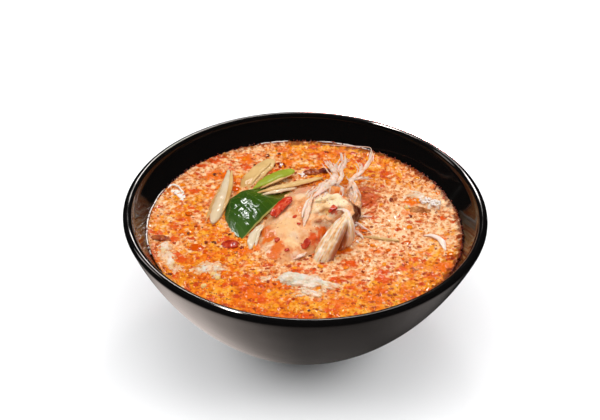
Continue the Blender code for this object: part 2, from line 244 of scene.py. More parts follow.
lip_centre = (RIM_RADIUS - LIP_RADIUS, BOWL_HEIGHT - LIP_RADIUS)
lip_angles = [-LIP_TURN + (math.pi + LIP_TURN) * i / 16 for i in range(17)]
lip = [(lip_centre[0] + LIP_RADIUS * math.cos(a),
        lip_centre[1] + LIP_RADIUS * math.sin(a)) for a in lip_angles]
outer_wall = arc((FOOT_RADIUS, FOOT_EDGE), lip[0], OUTER_BULGE, 44)
inner_wall = arc((FLOOR_RADIUS, FLOOR_LEVEL), lip[-1], INNER_BULGE, 40)
recess = FOOT_EDGE
foot = [(0, recess), (RECESS_RADIUS - recess, recess), (RECESS_RADIUS, 0)]
foot += [(FOOT_RADIUS - FOOT_EDGE + FOOT_EDGE * math.sin(a),
          FOOT_EDGE - FOOT_EDGE * math.cos(a)) for a in (0, 0.3, 0.6, 0.9, 1.2)]
dish = [(FLOOR_RADIUS / 2, FLOOR_LEVEL - 1.4 * MM), (0, FLOOR_LEVEL - 1.8 * MM)]
bowl_profile = foot + outer_wall + lip[1:] + inner_wall[-2::-1] + dish


def wall_reach(height):
    """The inner radius of the wall at a height, in metres."""
    return float(np.interp(height, [z for _, z in inner_wall], [r for r, _ in inner_wall]))


def painted(shader, colour, relief=None, strength=0.5, depth=0.5):
    """Link a shader's colour and, from a height of 0 to 1 and a depth in mm, its fine relief."""
    if colour is not None:
        feed(shader.inputs["Base Color"], colour)
    if relief is not None:
        feeds = {"Height": relief, "Strength": strength, "Distance": depth * MM}
        feed(shader.inputs["Normal"], node(shader.id_data, "ShaderNodeBump", feeds))


def dressed(made, slot, *nodes):
    """Fix a finished piece to the body, in place of its plain solids."""
    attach(made, "root")
    if nodes:
        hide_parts(*nodes)
    return made


def glint(name, pieces, place, aim, width, depth, power, unblocked=False, **settings):
    """A lamp that only the named pieces mirror, for one highlight of the studio's many."""
    made = softbox(name, place, aim, width, depth, power, faded=True, **settings)
    made.visible_diffuse = False
    made.visible_camera = False
    lights_only(made, *pieces)
    if unblocked:
        made.light_linking.blocker_collection = bpy.data.collections.new(name + "_blockers")
    return made


melamine, tree, shader = finish("pressed_black_melamine", Base_Color=tint("#0b0a0a"), Roughness=0.07,
                                IOR=1.3)
shader.inputs["Specular Tint"].default_value = tint("#fff0e6")
painted(shader, None, node(tree, "ShaderNodeTexNoise", {
    "Vector": node(tree, "ShaderNodeTexCoord").outputs["Object"], "Scale": 38,
    "Detail": 1}).outputs["Fac"], 0.5, 1.2)
bowl = piece("bowl_melamine", turned(bowl_profile, 192), melamine)
dressed(bowl, "black_glaze", "bowl")
glint("lip_window", [bowl], (-0.234, 0.24, 0.893), (-0.03, -0.08, 0.077), 0.1, 0.5, 26.0, roll=-50)
glint("lip_sheen", [bowl], (-0.1, 0.69, 0.65), (0, 0, 0.077), 0.5, 0.12, 5.0)
glint("wall_window", [bowl], (0.05, 0.22, 0.0), (-0.08, 0.02, 0.07), 0.16, 0.16, 6.5, unblocked=True,
      colour="#ffa8a4")
glint("wall_streak", [bowl], (0.05, 0.22, 0.0), (-0.08, 0.02, 0.07), 0.012, 0.05, 0.8, unblocked=True)
# The bright table shines up at the wall, most from the left
for number, (name, x, y, width, depth, power, colour) in enumerate((
        ("left", -0.105, -0.055, 0.22, 0.2, 0.1, "#fff0e8"),
        ("front", -0.01, -0.11, 0.34, 0.2, 0.03, "#fff4ee"),
        ("right", 0.14, -0.08, 0.2, 0.2, 0.045, "#fff4f0"))):
    place = (x, y, (1 + 2 * number) * MM)
    glint("table_glow_" + name, [bowl], place, (x, y, 0.1), width, depth, power, unblocked=True,
          colour=colour)


# ---------------------------------------------------------------------------------------------
# The broth: stock with evaporated milk and chilli paste. The milk curdles into fine pale curds
# and the orange oil gathers in pools and veins between them, under a wet shine.

soup_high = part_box("soup")[1]
SOUP_RADIUS = soup_high[0]
SOUP_LEVEL = 63 * MM
MENISCUS = soup_high[2] - SOUP_LEVEL
SOUP_GRID = 281
bare = bpy.data.materials.new("bare")      # what a tree coats its mesh with until the piece has its finish


def geometry_tree(name, **sizes):
    """A Geometry Nodes tree with named inputs: its nodes, its input sockets and its outlet."""
    tree = bpy.data.node_groups.new(name, "GeometryNodeTree")
    tree.interface.new_socket("Geometry", in_out="INPUT", socket_type="NodeSocketGeometry")
    tree.interface.new_socket("Geometry", in_out="OUTPUT", socket_type="NodeSocketGeometry")
    for key, value in sizes.items():
        kind = {int: "NodeSocketInt", float: "NodeSocketFloat", tuple: "NodeSocketVector"}[type(value)]
        tree.interface.new_socket(key, in_out="INPUT", socket_type=kind).default_value = value
    inlet = tree.nodes.new("NodeGroupInput")
    outlet = tree.nodes.new("NodeGroupOutput")
    return tree, inlet.outputs, outlet.inputs[0]


def grown(name, tree, finished, source=None, **sizes):
    """Run a tree on a mesh and keep what it makes as a plain object at the origin."""
    start = source if source else bpy.data.meshes.new(name + "_start")
    carrier = bpy.data.objects.new(name + "_carrier", start)
    scene.collection.objects.link(carrier)
    change = carrier.modifiers.new(name, "NODES")
    change.node_group = tree
    for item in tree.interface.items_tree:
        if item.in_out == "INPUT" and item.name in sizes:
            change[item.identifier] = sizes[item.name]
    seen = carrier.evaluated_get(bpy.context.evaluated_depsgraph_get())
    mesh = bpy.data.meshes.new_from_object(seen)
    bpy.data.objects.remove(carrier)
    facing = bmesh.new()
    facing.from_mesh(mesh)
    bmesh.ops.recalc_face_normals(facing, faces=facing.faces)
    facing.to_mesh(mesh)
    facing.free()
    return piece(name, mesh, finished)


def jitter(place, scale, detail, reach):
    """A small vector in any direction, from cloudy noise."""
    tree = place.id_data
    cloud = node(tree, "ShaderNodeTexNoise", {
        "Vector": place, "Scale": scale, "Detail": detail}).outputs["Color"]
    return node(tree, "ShaderNodeVectorMath:SCALE", {
        0: node(tree, "ShaderNodeVectorMath:SUBTRACT", [cloud, (0.5, 0.5, 0.5)]), "Scale": reach})


def end_tree(tree, geometry, outlet):
    """Finish a tree: real meshes, not instances, with the one material slot that its piece fills."""
    real = node(tree, "GeometryNodeRealizeInstances", {"Geometry": geometry})
    coated = node(tree, "GeometryNodeSetMaterial", {"Geometry": real, "Material": bare})
    feed(outlet, coated)


tree, sizes, outlet = geometry_tree("soup_surface", Points=SOUP_GRID, Radius=SOUP_RADIUS, Level=SOUP_LEVEL,
                                    Meniscus=MENISCUS, Relief=0.0009)
square = node(tree, "GeometryNodeMeshGrid", {
    "Size X": 2.0, "Size Y": 2.0, "Vertices X": sizes["Points"], "Vertices Y": sizes["Points"]})
# The square grid is drawn onto a round one, whose rows bow out towards the wall
corner = node(tree, "ShaderNodeSeparateXYZ", [node(tree, "GeometryNodeInputPosition")]).outputs
bowed = []
for own, other in (("X", "Y"), ("Y", "X")):
    squared = node(tree, "ShaderNodeMath:MULTIPLY", [corner[other], corner[other]])
    shrink = node(tree, "ShaderNodeMath:SQRT", [
        node(tree, "ShaderNodeMath:MULTIPLY_ADD", [squared, -0.5, 1.0])])
    reach = node(tree, "ShaderNodeMath:MULTIPLY", [corner[own], sizes["Radius"]])
    bowed.append(node(tree, "ShaderNodeMath:MULTIPLY", [reach, shrink]))
flat = node(tree, "ShaderNodeCombineXYZ", {"X": bowed[0], "Y": bowed[1]})
# Stirring drags the clumps into loose swirls
stirred = node(tree, "ShaderNodeVectorMath:ADD", [flat, jitter(flat, 70.0, 2.0, 0.012)])
curd = node(tree, "ShaderNodeTexNoise", {
    "Vector": stirred, "Scale": 1 / (2.0 * MM), "Detail": 3.0, "Roughness": 0.6})
patch = node(tree, "ShaderNodeTexNoise", {
    "Vector": node(tree, "ShaderNodeVectorMath:ADD", [stirred, (0.31, 0.17, 0.0)]),
    "Scale": 1 / (7.0 * MM), "Detail": 3.0, "Roughness": 0.6})
oil = node(tree, "ShaderNodeMapRange", [patch, 0.53, 0.6], interpolation_type="SMOOTHSTEP")
away = node(tree, "ShaderNodeMath:DIVIDE", [
    node(tree, "ShaderNodeVectorMath:LENGTH", [flat]).outputs["Value"], sizes["Radius"]])
climb = node(tree, "ShaderNodeMath:MULTIPLY", [
    node(tree, "ShaderNodeMath:POWER", [
        node(tree, "ShaderNodeMapRange", [away, 0.955, 1.0], interpolation_type="SMOOTHSTEP"), 1.5]),
    sizes["Meniscus"]])
clotted = node(tree, "ShaderNodeMath:MULTIPLY", [
    node(tree, "ShaderNodeMapRange", [curd, 0.4, 0.65], interpolation_type="SMOOTHSTEP"),
    node(tree, "ShaderNodeMath:MULTIPLY_ADD", [oil, -0.85, 1.0])])
height = node(tree, "ShaderNodeMath:MULTIPLY_ADD", [
    clotted, sizes["Relief"], node(tree, "ShaderNodeMath:ADD", [climb, sizes["Level"]])])
lifted = node(tree, "ShaderNodeCombineXYZ", {"Z": height})
marked = node(tree, "GeometryNodeSetPosition", {
    "Geometry": square, "Position": node(tree, "ShaderNodeVectorMath:ADD", [flat, lifted])})
for name, field in (("curd", curd), ("patch", patch)):
    marked = node(tree, "GeometryNodeStoreNamedAttribute", {
        "Geometry": marked, "Name": name, "Value": field}, data_type="FLOAT")
end_tree(tree, marked, outlet)

broth, tree, shader = finish("milky_chilli_broth", Roughness=0.2, IOR=1.33)
spot = node(tree, "ShaderNodeTexCoord").outputs["Object"]
curd = node(tree, "ShaderNodeAttribute", attribute_name="curd").outputs["Fac"]
patch = node(tree, "ShaderNodeAttribute", attribute_name="patch").outputs["Fac"]
fine = node(tree, "ShaderNodeTexNoise", {"Vector": spot, "Scale": 1 / (2.7 * MM), "Detail": 3.0})
finer = node(tree, "ShaderNodeTexNoise", {
    "Vector": node(tree, "ShaderNodeVectorMath:ADD", [spot, (0.7, 0.3, 0.0)]), "Scale": 1 / (2.0 * MM)})
clump = node(tree, "ShaderNodeMath:MULTIPLY_ADD", [
    node(tree, "ShaderNodeMath:SUBTRACT", [curd, 0.5]), 0.45, finer])
milk = node(tree, "ShaderNodeValToRGB", [clump], stops=(
    (0.27, "#a04a1c"), (0.34, "#c86a32"), (0.42, "#de8e50"), (0.50, "#ebae7a"), (0.60, "#f4cc9e")))
orange = node(tree, "ShaderNodeValToRGB", [clump], stops=(
    (0.28, "#b43a04"), (0.36, "#d45406"), (0.46, "#e26a08"), (0.57, "#ea8010"), (0.70, "#f09e34")))
yellow = node(tree, "ShaderNodeValToRGB", [clump], stops=(
    (0.28, "#c45c06"), (0.37, "#dc7608"), (0.49, "#ea8e10"), (0.66, "#f2ac3a")))
hue = node(tree, "ShaderNodeTexNoise", {
    "Vector": node(tree, "ShaderNodeVectorMath:ADD", [spot, (0.5, 0.2, 0.0)]), "Scale": 1 / (9 * MM)})
oil_tone = node(tree, "ShaderNodeMix", {
    "Factor": node(tree, "ShaderNodeMapRange", [hue, 0.40, 0.57], interpolation_type="SMOOTHSTEP"),
    "A": orange, "B": yellow}, data_type="RGBA").outputs["Result"]
# More oil lies at the front, some at the left and the back, and more milk to the right
axes = node(tree, "ShaderNodeSeparateXYZ", [spot]).outputs
bowed = node(tree, "ShaderNodeMath:MULTIPLY_ADD", [
    axes["X"], -4.0, node(tree, "ShaderNodeMath:MULTIPLY_ADD", [axes["Y"], 28.0, -1.45])])
lean = node(tree, "ShaderNodeMath:MULTIPLY_ADD", [
    axes["X"], -0.1, node(tree, "ShaderNodeMath:MULTIPLY", [axes["Y"], bowed])])
oiled = node(tree, "ShaderNodeMath:MULTIPLY_ADD", [
    node(tree, "ShaderNodeMath:SUBTRACT", [fine, 0.5]), 0.6, patch])
oiled = node(tree, "ShaderNodeMapRange", [
    node(tree, "ShaderNodeMath:ADD", [oiled, lean]), 0.46, 0.60], interpolation_type="SMOOTHSTEP")
base = node(tree, "ShaderNodeMix", {
    "Factor": oiled, "A": milk, "B": oil_tone}, data_type="RGBA").outputs["Result"]


def blotches(place, base, cell, share, radius, blur, colour):
    """Paint blots of one colour: one to a cell of the given size, in only a share of the cells."""
    tree = place.id_data
    place = node(tree, "ShaderNodeVectorMath:MULTIPLY", [place, (0.68, 1.0, 1.0)])
    shifted = jitter(place, 2.2 / cell, 2.0, cell * 0.9)
    cells = node(tree, "ShaderNodeTexVoronoi", {
        "Vector": node(tree, "ShaderNodeVectorMath:ADD", [place, shifted]), "Scale": 1 / cell})
    chance = node(tree, "ShaderNodeSeparateColor", {0: cells.outputs["Color"]}).outputs
    reach = node(tree, "ShaderNodeMath:MULTIPLY_ADD", [chance["Green"], radius, radius * 0.5])
    shape = node(tree, "ShaderNodeMapRange", [
        node(tree, "ShaderNodeMath:SUBTRACT", [reach, cells.outputs["Distance"]]), 0.0,
        blur], interpolation_type="SMOOTHSTEP")
    leftward = node(tree, "ShaderNodeMath:MULTIPLY_ADD", [axes["X"], -0.9, share])
    kept = node(tree, "ShaderNodeMath:LESS_THAN", [
        chance["Red"], node(tree, "ShaderNodeMath:MULTIPLY_ADD", [lean, 5.0, leftward])])
    return node(tree, "ShaderNodeMix", {
        "Factor": node(tree, "ShaderNodeMath:MULTIPLY", [shape, kept]), "A": base,
        "B": colour}, data_type="RGBA").outputs["Result"]


for cell, share, radius, blur, colour in (
        (9.0, 0.40, 0.50, 0.40, "#e66a08"), (5.8, 0.34, 0.40, 0.26, "#dc500a"),
        (3.9, 0.32, 0.36, 0.22, "#c8420a"), (2.9, 0.20, 0.30, 0.20, "#a0360c"),
        (1.6, 0.16, 0.24, 0.20, "#98441a")):
    base = blotches(spot, base, cell * MM, share, radius, blur, colour)
# A dark line of chilli dregs has settled along the wall, mostly at the back and the right
edge = node(tree, "ShaderNodeVectorMath:LENGTH", [
    node(tree, "ShaderNodeVectorMath:MULTIPLY", [spot, (1.0, 1.0, 0.0)])]).outputs["Value"]
edge = node(tree, "ShaderNodeMath:MULTIPLY_ADD", [
    node(tree, "ShaderNodeMath:SUBTRACT", [fine, 0.5]), 9 * MM, edge])
edge = node(tree, "ShaderNodeMapRange", [
    edge, SOUP_RADIUS - 3.0 * MM, SOUP_RADIUS - 0.6 * MM], interpolation_type="SMOOTHSTEP")
settled = node(tree, "ShaderNodeMapRange", [
    node(tree, "ShaderNodeMath:ADD", [
        axes["X"], node(tree, "ShaderNodeMath:MULTIPLY", [axes["Y"], 0.5])]), -40 * MM,
    30 * MM], interpolation_type="SMOOTHSTEP")
edge = node(tree, "ShaderNodeMath:MULTIPLY", [
    edge, node(tree, "ShaderNodeMath:MULTIPLY_ADD", [settled, 0.6, 0.25])])
base = node(tree, "ShaderNodeMix", {
    "Factor": edge, "A": base, "B": "#6a200c"}, data_type="RGBA").outputs["Result"]
painted(shader, base, fine, 0.6, 0.5)
soup_top = grown("broth_surface", bpy.data.node_groups["soup_surface"], broth)
rim = bmesh.new()
rim.from_mesh(soup_top.data)
# Below its surface the broth fills the bowl down to the floor
ring = [e for e in rim.edges if e.is_boundary]
for level in (50 * MM, 35 * MM, 20 * MM, FLOOR_LEVEL + 0.5 * MM):
    wall_radius = wall_reach(level) - 0.4 * MM
    made = bmesh.ops.extrude_edge_only(rim, edges=ring)["geom"]
    ring = [g for g in made if isinstance(g, bmesh.types.BMEdge)]
    ring = [e for e in ring if e.is_boundary]
    for point in {v for e in ring for v in e.verts}:
        away = math.hypot(point.co.x, point.co.y)
        point.co.x *= wall_radius / away
        point.co.y *= wall_radius / away
        point.co.z = level
bmesh.ops.holes_fill(rim, edges=ring)
bmesh.ops.recalc_face_normals(rim, faces=rim.faces)
rim.to_mesh(soup_top.data)
rim.free()
dressed(soup_top, "creamy_broth", "soup")
glint("meniscus_window", [soup_top], (0.42, 0.74, 0.34), (0, 0, 0.06), 0.3, 0.2, 4.0)


# ---------------------------------------------------------------------------------------------
# The lemongrass: stalks cut on the slant and boiled limp. Each is a stack of smooth, ribbed leaf
# sheaths, white at the root end and yellow green above, with a waxy, wet surface.

strip_tree, sizes, outlet = geometry_tree("oval_strip", Steps=64, Sides=28, Blunt=3.0, Ribs=0,
                                          Rib_Depth=0.0, Crest=1.0, Uneven=0.0, Lump_Size=0.004)
tree = strip_tree
spine = node(tree, "GeometryNodeMeshToCurve", {"Mesh": sizes["Geometry"]})
spine = node(tree, "GeometryNodeCurveSplineType", {"Curve": spine}, spline_type="CATMULL_ROM")
spine = node(tree, "GeometryNodeSetSplineResolution", {"Geometry": spine, "Resolution": 16})
grid = node(tree, "GeometryNodeMeshGrid", {
    "Size X": 1.0, "Size Y": 1.0, "Vertices X": sizes["Steps"], "Vertices Y": sizes["Sides"]})
place = node(tree, "ShaderNodeSeparateXYZ", [node(tree, "GeometryNodeInputPosition")]).outputs
# Rows stand closer together near the two ends, where the section closes to a point
ahead = node(tree, "ShaderNodeMath:COSINE", [
    node(tree, "ShaderNodeMath:MULTIPLY", [
        node(tree, "ShaderNodeMath:ADD", [place["X"], 0.5]), math.pi])])
along = node(tree, "ShaderNodeMath:MULTIPLY_ADD", [ahead, -0.5, 0.5])
angle = node(tree, "ShaderNodeMath:MULTIPLY", [place["Y"], 2 * math.pi])
reach = node(tree, "ShaderNodeMath:POWER", [
    node(tree, "ShaderNodeMath:ABSOLUTE", [ahead]), sizes["Blunt"]])
closing = node(tree, "ShaderNodeMath:SQRT", [
    node(tree, "ShaderNodeMath:MAXIMUM", [node(tree, "ShaderNodeMath:SUBTRACT", [1.0, reach]), 0.0])])


def read_spine(key):
    """The spine's own value at each row: its half width or its half height."""
    held = node(tree, "GeometryNodeInputNamedAttribute", {"Name": key},
                data_type="FLOAT").outputs["Attribute"]
    return node(tree, "GeometryNodeSampleCurve", {"Curves": spine, "Value": held, "Factor": along},
                mode="FACTOR", use_all_curves=False)


middle = read_spine("wide")
wide, deep = middle.outputs["Value"], read_spine("deep").outputs["Value"]
across = node(tree, "ShaderNodeVectorMath:CROSS_PRODUCT", [middle.outputs["Tangent"], (0, 0, 1)])
across = node(tree, "ShaderNodeVectorMath:NORMALIZE", [across])
above = node(tree, "ShaderNodeVectorMath:CROSS_PRODUCT", [across, middle.outputs["Tangent"]])
ribbed = node(tree, "ShaderNodeMath:COSINE", [
    node(tree, "ShaderNodeMath:MULTIPLY", [angle, sizes["Ribs"]])])
ribbed = node(tree, "ShaderNodeMath:MULTIPLY", [
    node(tree, "ShaderNodeMath:MULTIPLY_ADD", [ribbed, sizes["Rib_Depth"], 1.0]), closing])
side = node(tree, "ShaderNodeMath:COSINE", [angle])
rise = node(tree, "ShaderNodeMath:SINE", [angle])
rise = node(tree, "ShaderNodeMath:MULTIPLY", [
    node(tree, "ShaderNodeMath:SIGN", [rise]),
    node(tree, "ShaderNodeMath:POWER", [node(tree, "ShaderNodeMath:ABSOLUTE", [rise]), sizes["Crest"]])])
point = middle.outputs["Position"]
for way, size, share in ((across, wide, side), (above, deep, rise)):
    amount = node(tree, "ShaderNodeMath:MULTIPLY", [
        node(tree, "ShaderNodeMath:MULTIPLY", [size, share]), ribbed])
    point = node(tree, "ShaderNodeVectorMath:ADD", [
        point, node(tree, "ShaderNodeVectorMath:SCALE", {0: way, "Scale": amount})])
push = node(tree, "ShaderNodeMath:MULTIPLY", [sizes["Uneven"], closing])
point = node(tree, "ShaderNodeVectorMath:ADD", [
    point, jitter(point, node(tree, "ShaderNodeMath:DIVIDE", [1.0, sizes["Lump_Size"]]), 2.0, push)])
shaped = node(tree, "GeometryNodeSetPosition", {"Geometry": grid, "Position": point})
length = node(tree, "ShaderNodeMath:MULTIPLY", [
    node(tree, "GeometryNodeCurveLength", {"Curve": spine}), along])
fibre = node(tree, "ShaderNodeCombineXYZ", {
    "X": node(tree, "ShaderNodeMath:MULTIPLY", [side, 0.002]),
    "Y": node(tree, "ShaderNodeMath:MULTIPLY", [rise, 0.002]), "Z": length})
shaped = node(tree, "GeometryNodeStoreNamedAttribute", {
    "Geometry": shaped, "Name": "fibre", "Value": fibre}, data_type="FLOAT_VECTOR")
shaped = node(tree, "GeometryNodeStoreNamedAttribute", {
    "Geometry": shaped, "Name": "along", "Value": along}, data_type="FLOAT")
closed = node(tree, "GeometryNodeMergeByDistance", {"Geometry": shaped, "Distance": 0.002 * MM})
end_tree(tree, closed, outlet)


def strip(name, spine, finished, **shape):
    """An oval piece along a smooth spine: rows of x, y, z, half width and half height in mm."""
    start = bpy.data.meshes.new(name + "_spine")
    links = [(i, i + 1) for i in range(len(spine) - 1)]
    start.from_pydata([Vector(row[:3]) * MM for row in spine], links, [])
    for key, column in (("wide", 3), ("deep", 4)):
        held = start.attributes.new(key, "FLOAT", "POINT")
        held.data.foreach_set("value", [row[column] * MM for row in spine])
    return grown(name, strip_tree, finished, start, **shape)


def joined(name, parts):
    """One object from several, with their materials kept as they are."""
    parts[0].name = parts[0].data.name = name
    if len(parts) > 1:
        with bpy.context.temp_override(active_object=parts[0], selected_editable_objects=parts):
            bpy.ops.object.join()
    return parts[0]


def sheath_finish(name, stops, stripe, roughness, waxy, veining=0.6):
    """Leaf-sheath skin: colours from one end to the other, with fine darker veins down its length."""
    made, tree, shader = finish(
        name, Roughness=roughness, IOR=1.42, Coat_Weight=waxy, Coat_Roughness=0.12)
    fibre = node(tree, "ShaderNodeAttribute", attribute_name="fibre").outputs["Vector"]
    along = node(tree, "ShaderNodeAttribute", attribute_name="along").outputs["Fac"]
    spot = node(tree, "ShaderNodeTexCoord").outputs["Object"]
    drift = node(tree, "ShaderNodeMath:MULTIPLY_ADD", [
        node(tree, "ShaderNodeMath:SUBTRACT", [
            node(tree, "ShaderNodeTexNoise", {"Vector": spot, "Scale": 1 / (5 * MM)}), 0.5]), 0.5, along])
    ground = node(tree, "ShaderNodeValToRGB", [drift], stops=stops)
    stretched = node(tree, "ShaderNodeVectorMath:MULTIPLY", [fibre, (1, 1, 0.05)])
    veins = node(tree, "ShaderNodeTexNoise", {"Vector": stretched, "Scale": 1 / (0.42 * MM)})
    share = node(tree, "ShaderNodeMapRange", [veins, 0.44, 0.62], interpolation_type="SMOOTHSTEP")
    mixed = node(tree, "ShaderNodeMix", {
        "Factor": node(tree, "ShaderNodeMath:MULTIPLY", [share, veining]), "A": ground,
        "B": stripe}, data_type="RGBA").outputs["Result"]
    painted(shader, mixed, veins, 0.6, 0.3)
    return made


white_sheath = sheath_finish("lemongrass_white_sheath",
                             ((0.0, "#cdbd86"), (0.25, "#d9c69a"), (0.5, "#e2cdae"), (0.75, "#e9dccb"),
                              (0.95, "#efe9e0")), "#d6b07e", 0.2, 0.6, 0.35)
olive_sheath = sheath_finish("lemongrass_olive_sheath",
                             ((0.0, "#cea058"), (0.3, "#d8ae6c"), (0.6, "#e0ba7c"), (0.9, "#d4a462")),
                             "#b98442", 0.3, 0.25)
green_sheath = sheath_finish("lemongrass_green_sheath",
                             ((0.0, "#a8943c"), (0.3, "#a2a82c"), (0.6, "#9fb42c"), (0.82, "#b6b83c"),
                              (0.97, "#d4ba6a")), "#8c9220", 0.34, 0.14)

white_stalk = [
    strip("white_core", ((-41.2, 48.8, 64.2, 1.2, 1.0), (-41.6, 33.1, 64.8, 2.2, 1.6),
                         (-43.8, 15.1, 64.7, 3.4, 2.3), (-46.4, 0.4, 63.7, 3.3, 2.2)),
          white_sheath, Ribs=9, Rib_Depth=0.02, Uneven=0.0012, Blunt=4.0),
    strip("white_outer_sheath", ((-39.6, 48.0, 64.6, 0.8, 0.6), (-39.2, 33.4, 65.4, 1.2, 0.8),
                                 (-40.4, 17.5, 65.8, 1.4, 0.8), (-42.6, 6.4, 64.8, 0.9, 0.6)),
          olive_sheath, Ribs=5, Rib_Depth=0.06, Uneven=0.0008),
    strip("white_flank", ((-42.8, 42.0, 63.2, 0.8, 0.5), (-45.2, 26.0, 63.7, 1.3, 0.7),
                          (-48.2, 12.0, 63.4, 1.3, 0.7), (-50.0, 3.0, 63.0, 0.8, 0.5)),
          olive_sheath, Ribs=5, Rib_Depth=0.04, Uneven=0.0016),
]
dressed(joined("lemongrass_white_stalk", white_stalk), "lemongrass_white", "lemongrass_white")
husk = [
    strip("husk_flap", ((-26.6, -19.8, 63.5, 1.2, 0.6), (-25.6, -11.8, 65.0, 2.1, 0.8),
                        (-21.6, -3.2, 66.6, 1.3, 0.7)),
          white_sheath, Uneven=0.0014, Ribs=4, Rib_Depth=0.08),
    strip("husk_edge", ((-23.9, -17.6, 63.8, 0.5, 0.5), (-23.2, -11.4, 65.6, 0.8, 0.6),
                        (-20.5, -4.0, 67.0, 0.6, 0.5)),
          white_sheath, Uneven=0.0012),
]
dressed(joined("lemongrass_husk_flap", husk), "lemongrass_white", "lemongrass_husk")
slice_parts = [
    strip("slice_blade", ((-33.5, 29.5, 62.5, 1.8, 0.6), (-28.2, 42.6, 63.7, 4.6, 0.9),
                          (-18.4, 59.0, 64.5, 3.9, 0.8)),
          olive_sheath, Ribs=8, Rib_Depth=0.03, Uneven=0.0026, Lump_Size=0.006, Blunt=5.0),
    strip("slice_layer", ((-28.6, 36.0, 63.9, 0.7, 0.5), (-25.4, 43.6, 64.9, 1.1, 0.6),
                          (-19.2, 54.5, 65.3, 0.8, 0.5)),
          olive_sheath, Uneven=0.0010),
]
dressed(joined("lemongrass_olive_slice", slice_parts), "lemongrass_olive", "lemongrass_slice")
green_slice = [
    strip("green_blade", ((-27.4, 28.2, 66.0, 0.9, 0.5), (-18.0, 37.4, 67.1, 3.3, 0.8),
                          (-6.4, 46.6, 66.2, 3.0, 0.8)),
          green_sheath, Ribs=7, Rib_Depth=0.02, Uneven=0.0014, Lump_Size=0.006, Blunt=6.0),
    strip("green_edge", ((-23.6, 28.6, 66.2, 0.6, 0.5), (-16.6, 34.0, 66.8, 0.8, 0.6),
                         (-7.0, 42.6, 66.2, 0.7, 0.5)),
          olive_sheath, Uneven=0.0008),
]
dressed(joined("lemongrass_green_slice", green_slice), "lemongrass_green", "lemongrass_green")
long_strip = [
    strip("long_blade", ((-25.4, 24.6, 66.0, 1.0, 0.7), (-16.6, 29.5, 65.9, 1.7, 0.8),
                         (-6.3, 34.7, 65.4, 2.0, 0.8), (9.0, 42.6, 64.5, 1.6, 0.8)),
          olive_sheath, Ribs=6, Rib_Depth=0.05, Uneven=0.0011, Steps=110),
    strip("long_pale_edge", ((-24.0, 23.4, 65.6, 0.8, 0.6), (-14.8, 27.4, 65.4, 1.1, 0.7),
                             (-5.0, 32.0, 64.9, 0.9, 0.6)),
          white_sheath, Uneven=0.0016, Lump_Size=0.003, Steps=90),
]
dressed(joined("lemongrass_long_strip", long_strip), "lemongrass_olive", "lemongrass_strip")
sliver = strip("lemongrass_pale_sliver", ((27.3, -7.3, 63.6, 0.6, 0.6), (36.6, -8.7, 63.8, 0.8, 0.7),
                                          (46.9, -10.6, 63.8, 0.9, 0.8)), olive_sheath, Uneven=0.0010)
dressed(sliver, "lemongrass_white", "lemongrass_sliver")


# ---------------------------------------------------------------------------------------------
# The lime leaf: half a makrut lime leaf torn off along its midrib. It is leathery and dark green,
# so glossy that it mirrors the window, with sunken side veins that run to its curved edge.

LEAF_TIP, LEAF_END = (-31, -12), (-7.5, 32.5)
LEAF_HALF_WIDTH = 21.4
LEAF_DOME = 3.4
LEAF_TORN_RISE = 1.8
LEAF_FREEBOARD = 0.5
LEAF_THICKNESS = 0.7
LEAF_VEINS = 9


def leaf_point(share, v):
    """A point of the leaf's face in mm: share runs from tip to end, v from the curved to the torn side."""
    tip, end = Vector((*LEAF_TIP, 0)), Vector((*LEAF_END, 0))
    axis = end - tip
    outward = Vector((-axis.y, axis.x, 0)).normalized()
    curved = LEAF_HALF_WIDTH * math.sin(math.pi * share ** 0.93) ** 0.75
    torn = -1.2 * math.sin(math.pi * share) + 0.35 * noise.noise(Vector((share * 14, 0, 3)))
    curved *= 1 + 0.018 * math.sin(share * 31)
    away = curved + (torn - curved) * v
    arch = 1 - (2 * v - 1) ** 2
    crown = max(0, math.sin(math.pi * min(1, share / 0.82)))
    # Each side vein leaves the midrib at a slant and fades towards the curved edge
    vein = abs(math.sin(math.pi * LEAF_VEINS * (share + 0.16 * v)))
    furrow = -0.14 * (1 - vein) ** 3 * math.sin(math.pi * v) ** 0.5
    pucker = 0.9 * noise.noise(Vector((share * 5.5, v * 3.1, 1.7)))
    pucker = (pucker + 0.35 * noise.noise(Vector((share * 17, v * 9, 4.2)))) * arch
    lifted = 2.6 * (1 - v) ** 2 * math.sin(math.pi * min(1, max(0, share - 0.3) / 0.7))
    height = (SOUP_LEVEL / MM + LEAF_FREEBOARD + lifted + crown * (LEAF_DOME * arch + LEAF_TORN_RISE * v)
              + (furrow + pucker) * crown)
    return tip + axis * share + outward * away + Vector((0, 0, height)), v, vein


def slab(name, point, along, across, through, finished):
    """A closed sheet: point(u, v) gives its face in mm with two values for its finish."""
    mesh = bmesh.new()
    marks = mesh.verts.layers.float_vector.new("marks")
    face, back = [], []
    for i in range(along + 1):
        u = i / along
        depth = Vector(through[0]).lerp(Vector(through[1]), u)
        for grid in (face, back):
            grid.append([])
        for k in range(across + 1):
            spot, first, second = point(u, k / across)
            for grid, offset in ((face, Vector()), (back, depth)):
                corner = mesh.verts.new((spot + offset) * MM)
                corner[marks] = (u, first, second)
                grid[-1].append(corner)
    for grid in (face, back):
        for a, b in zip(grid, grid[1:]):
            for k in range(across):
                mesh.faces.new((a[k], a[k + 1], b[k + 1], b[k]))
    edges = []
    for grid in (face, back):
        right, left = [row[-1] for row in grid[1:]], [row[0] for row in grid[-2:0:-1]]
        edges.append(grid[0] + right + grid[-1][-2::-1] + left)
    for i in range(len(edges[0])):
        mesh.faces.new((edges[0][i - 1], edges[0][i], edges[1][i], edges[1][i - 1]))
    bmesh.ops.recalc_face_normals(mesh, faces=mesh.faces)
    return piece(name, mesh, finished)


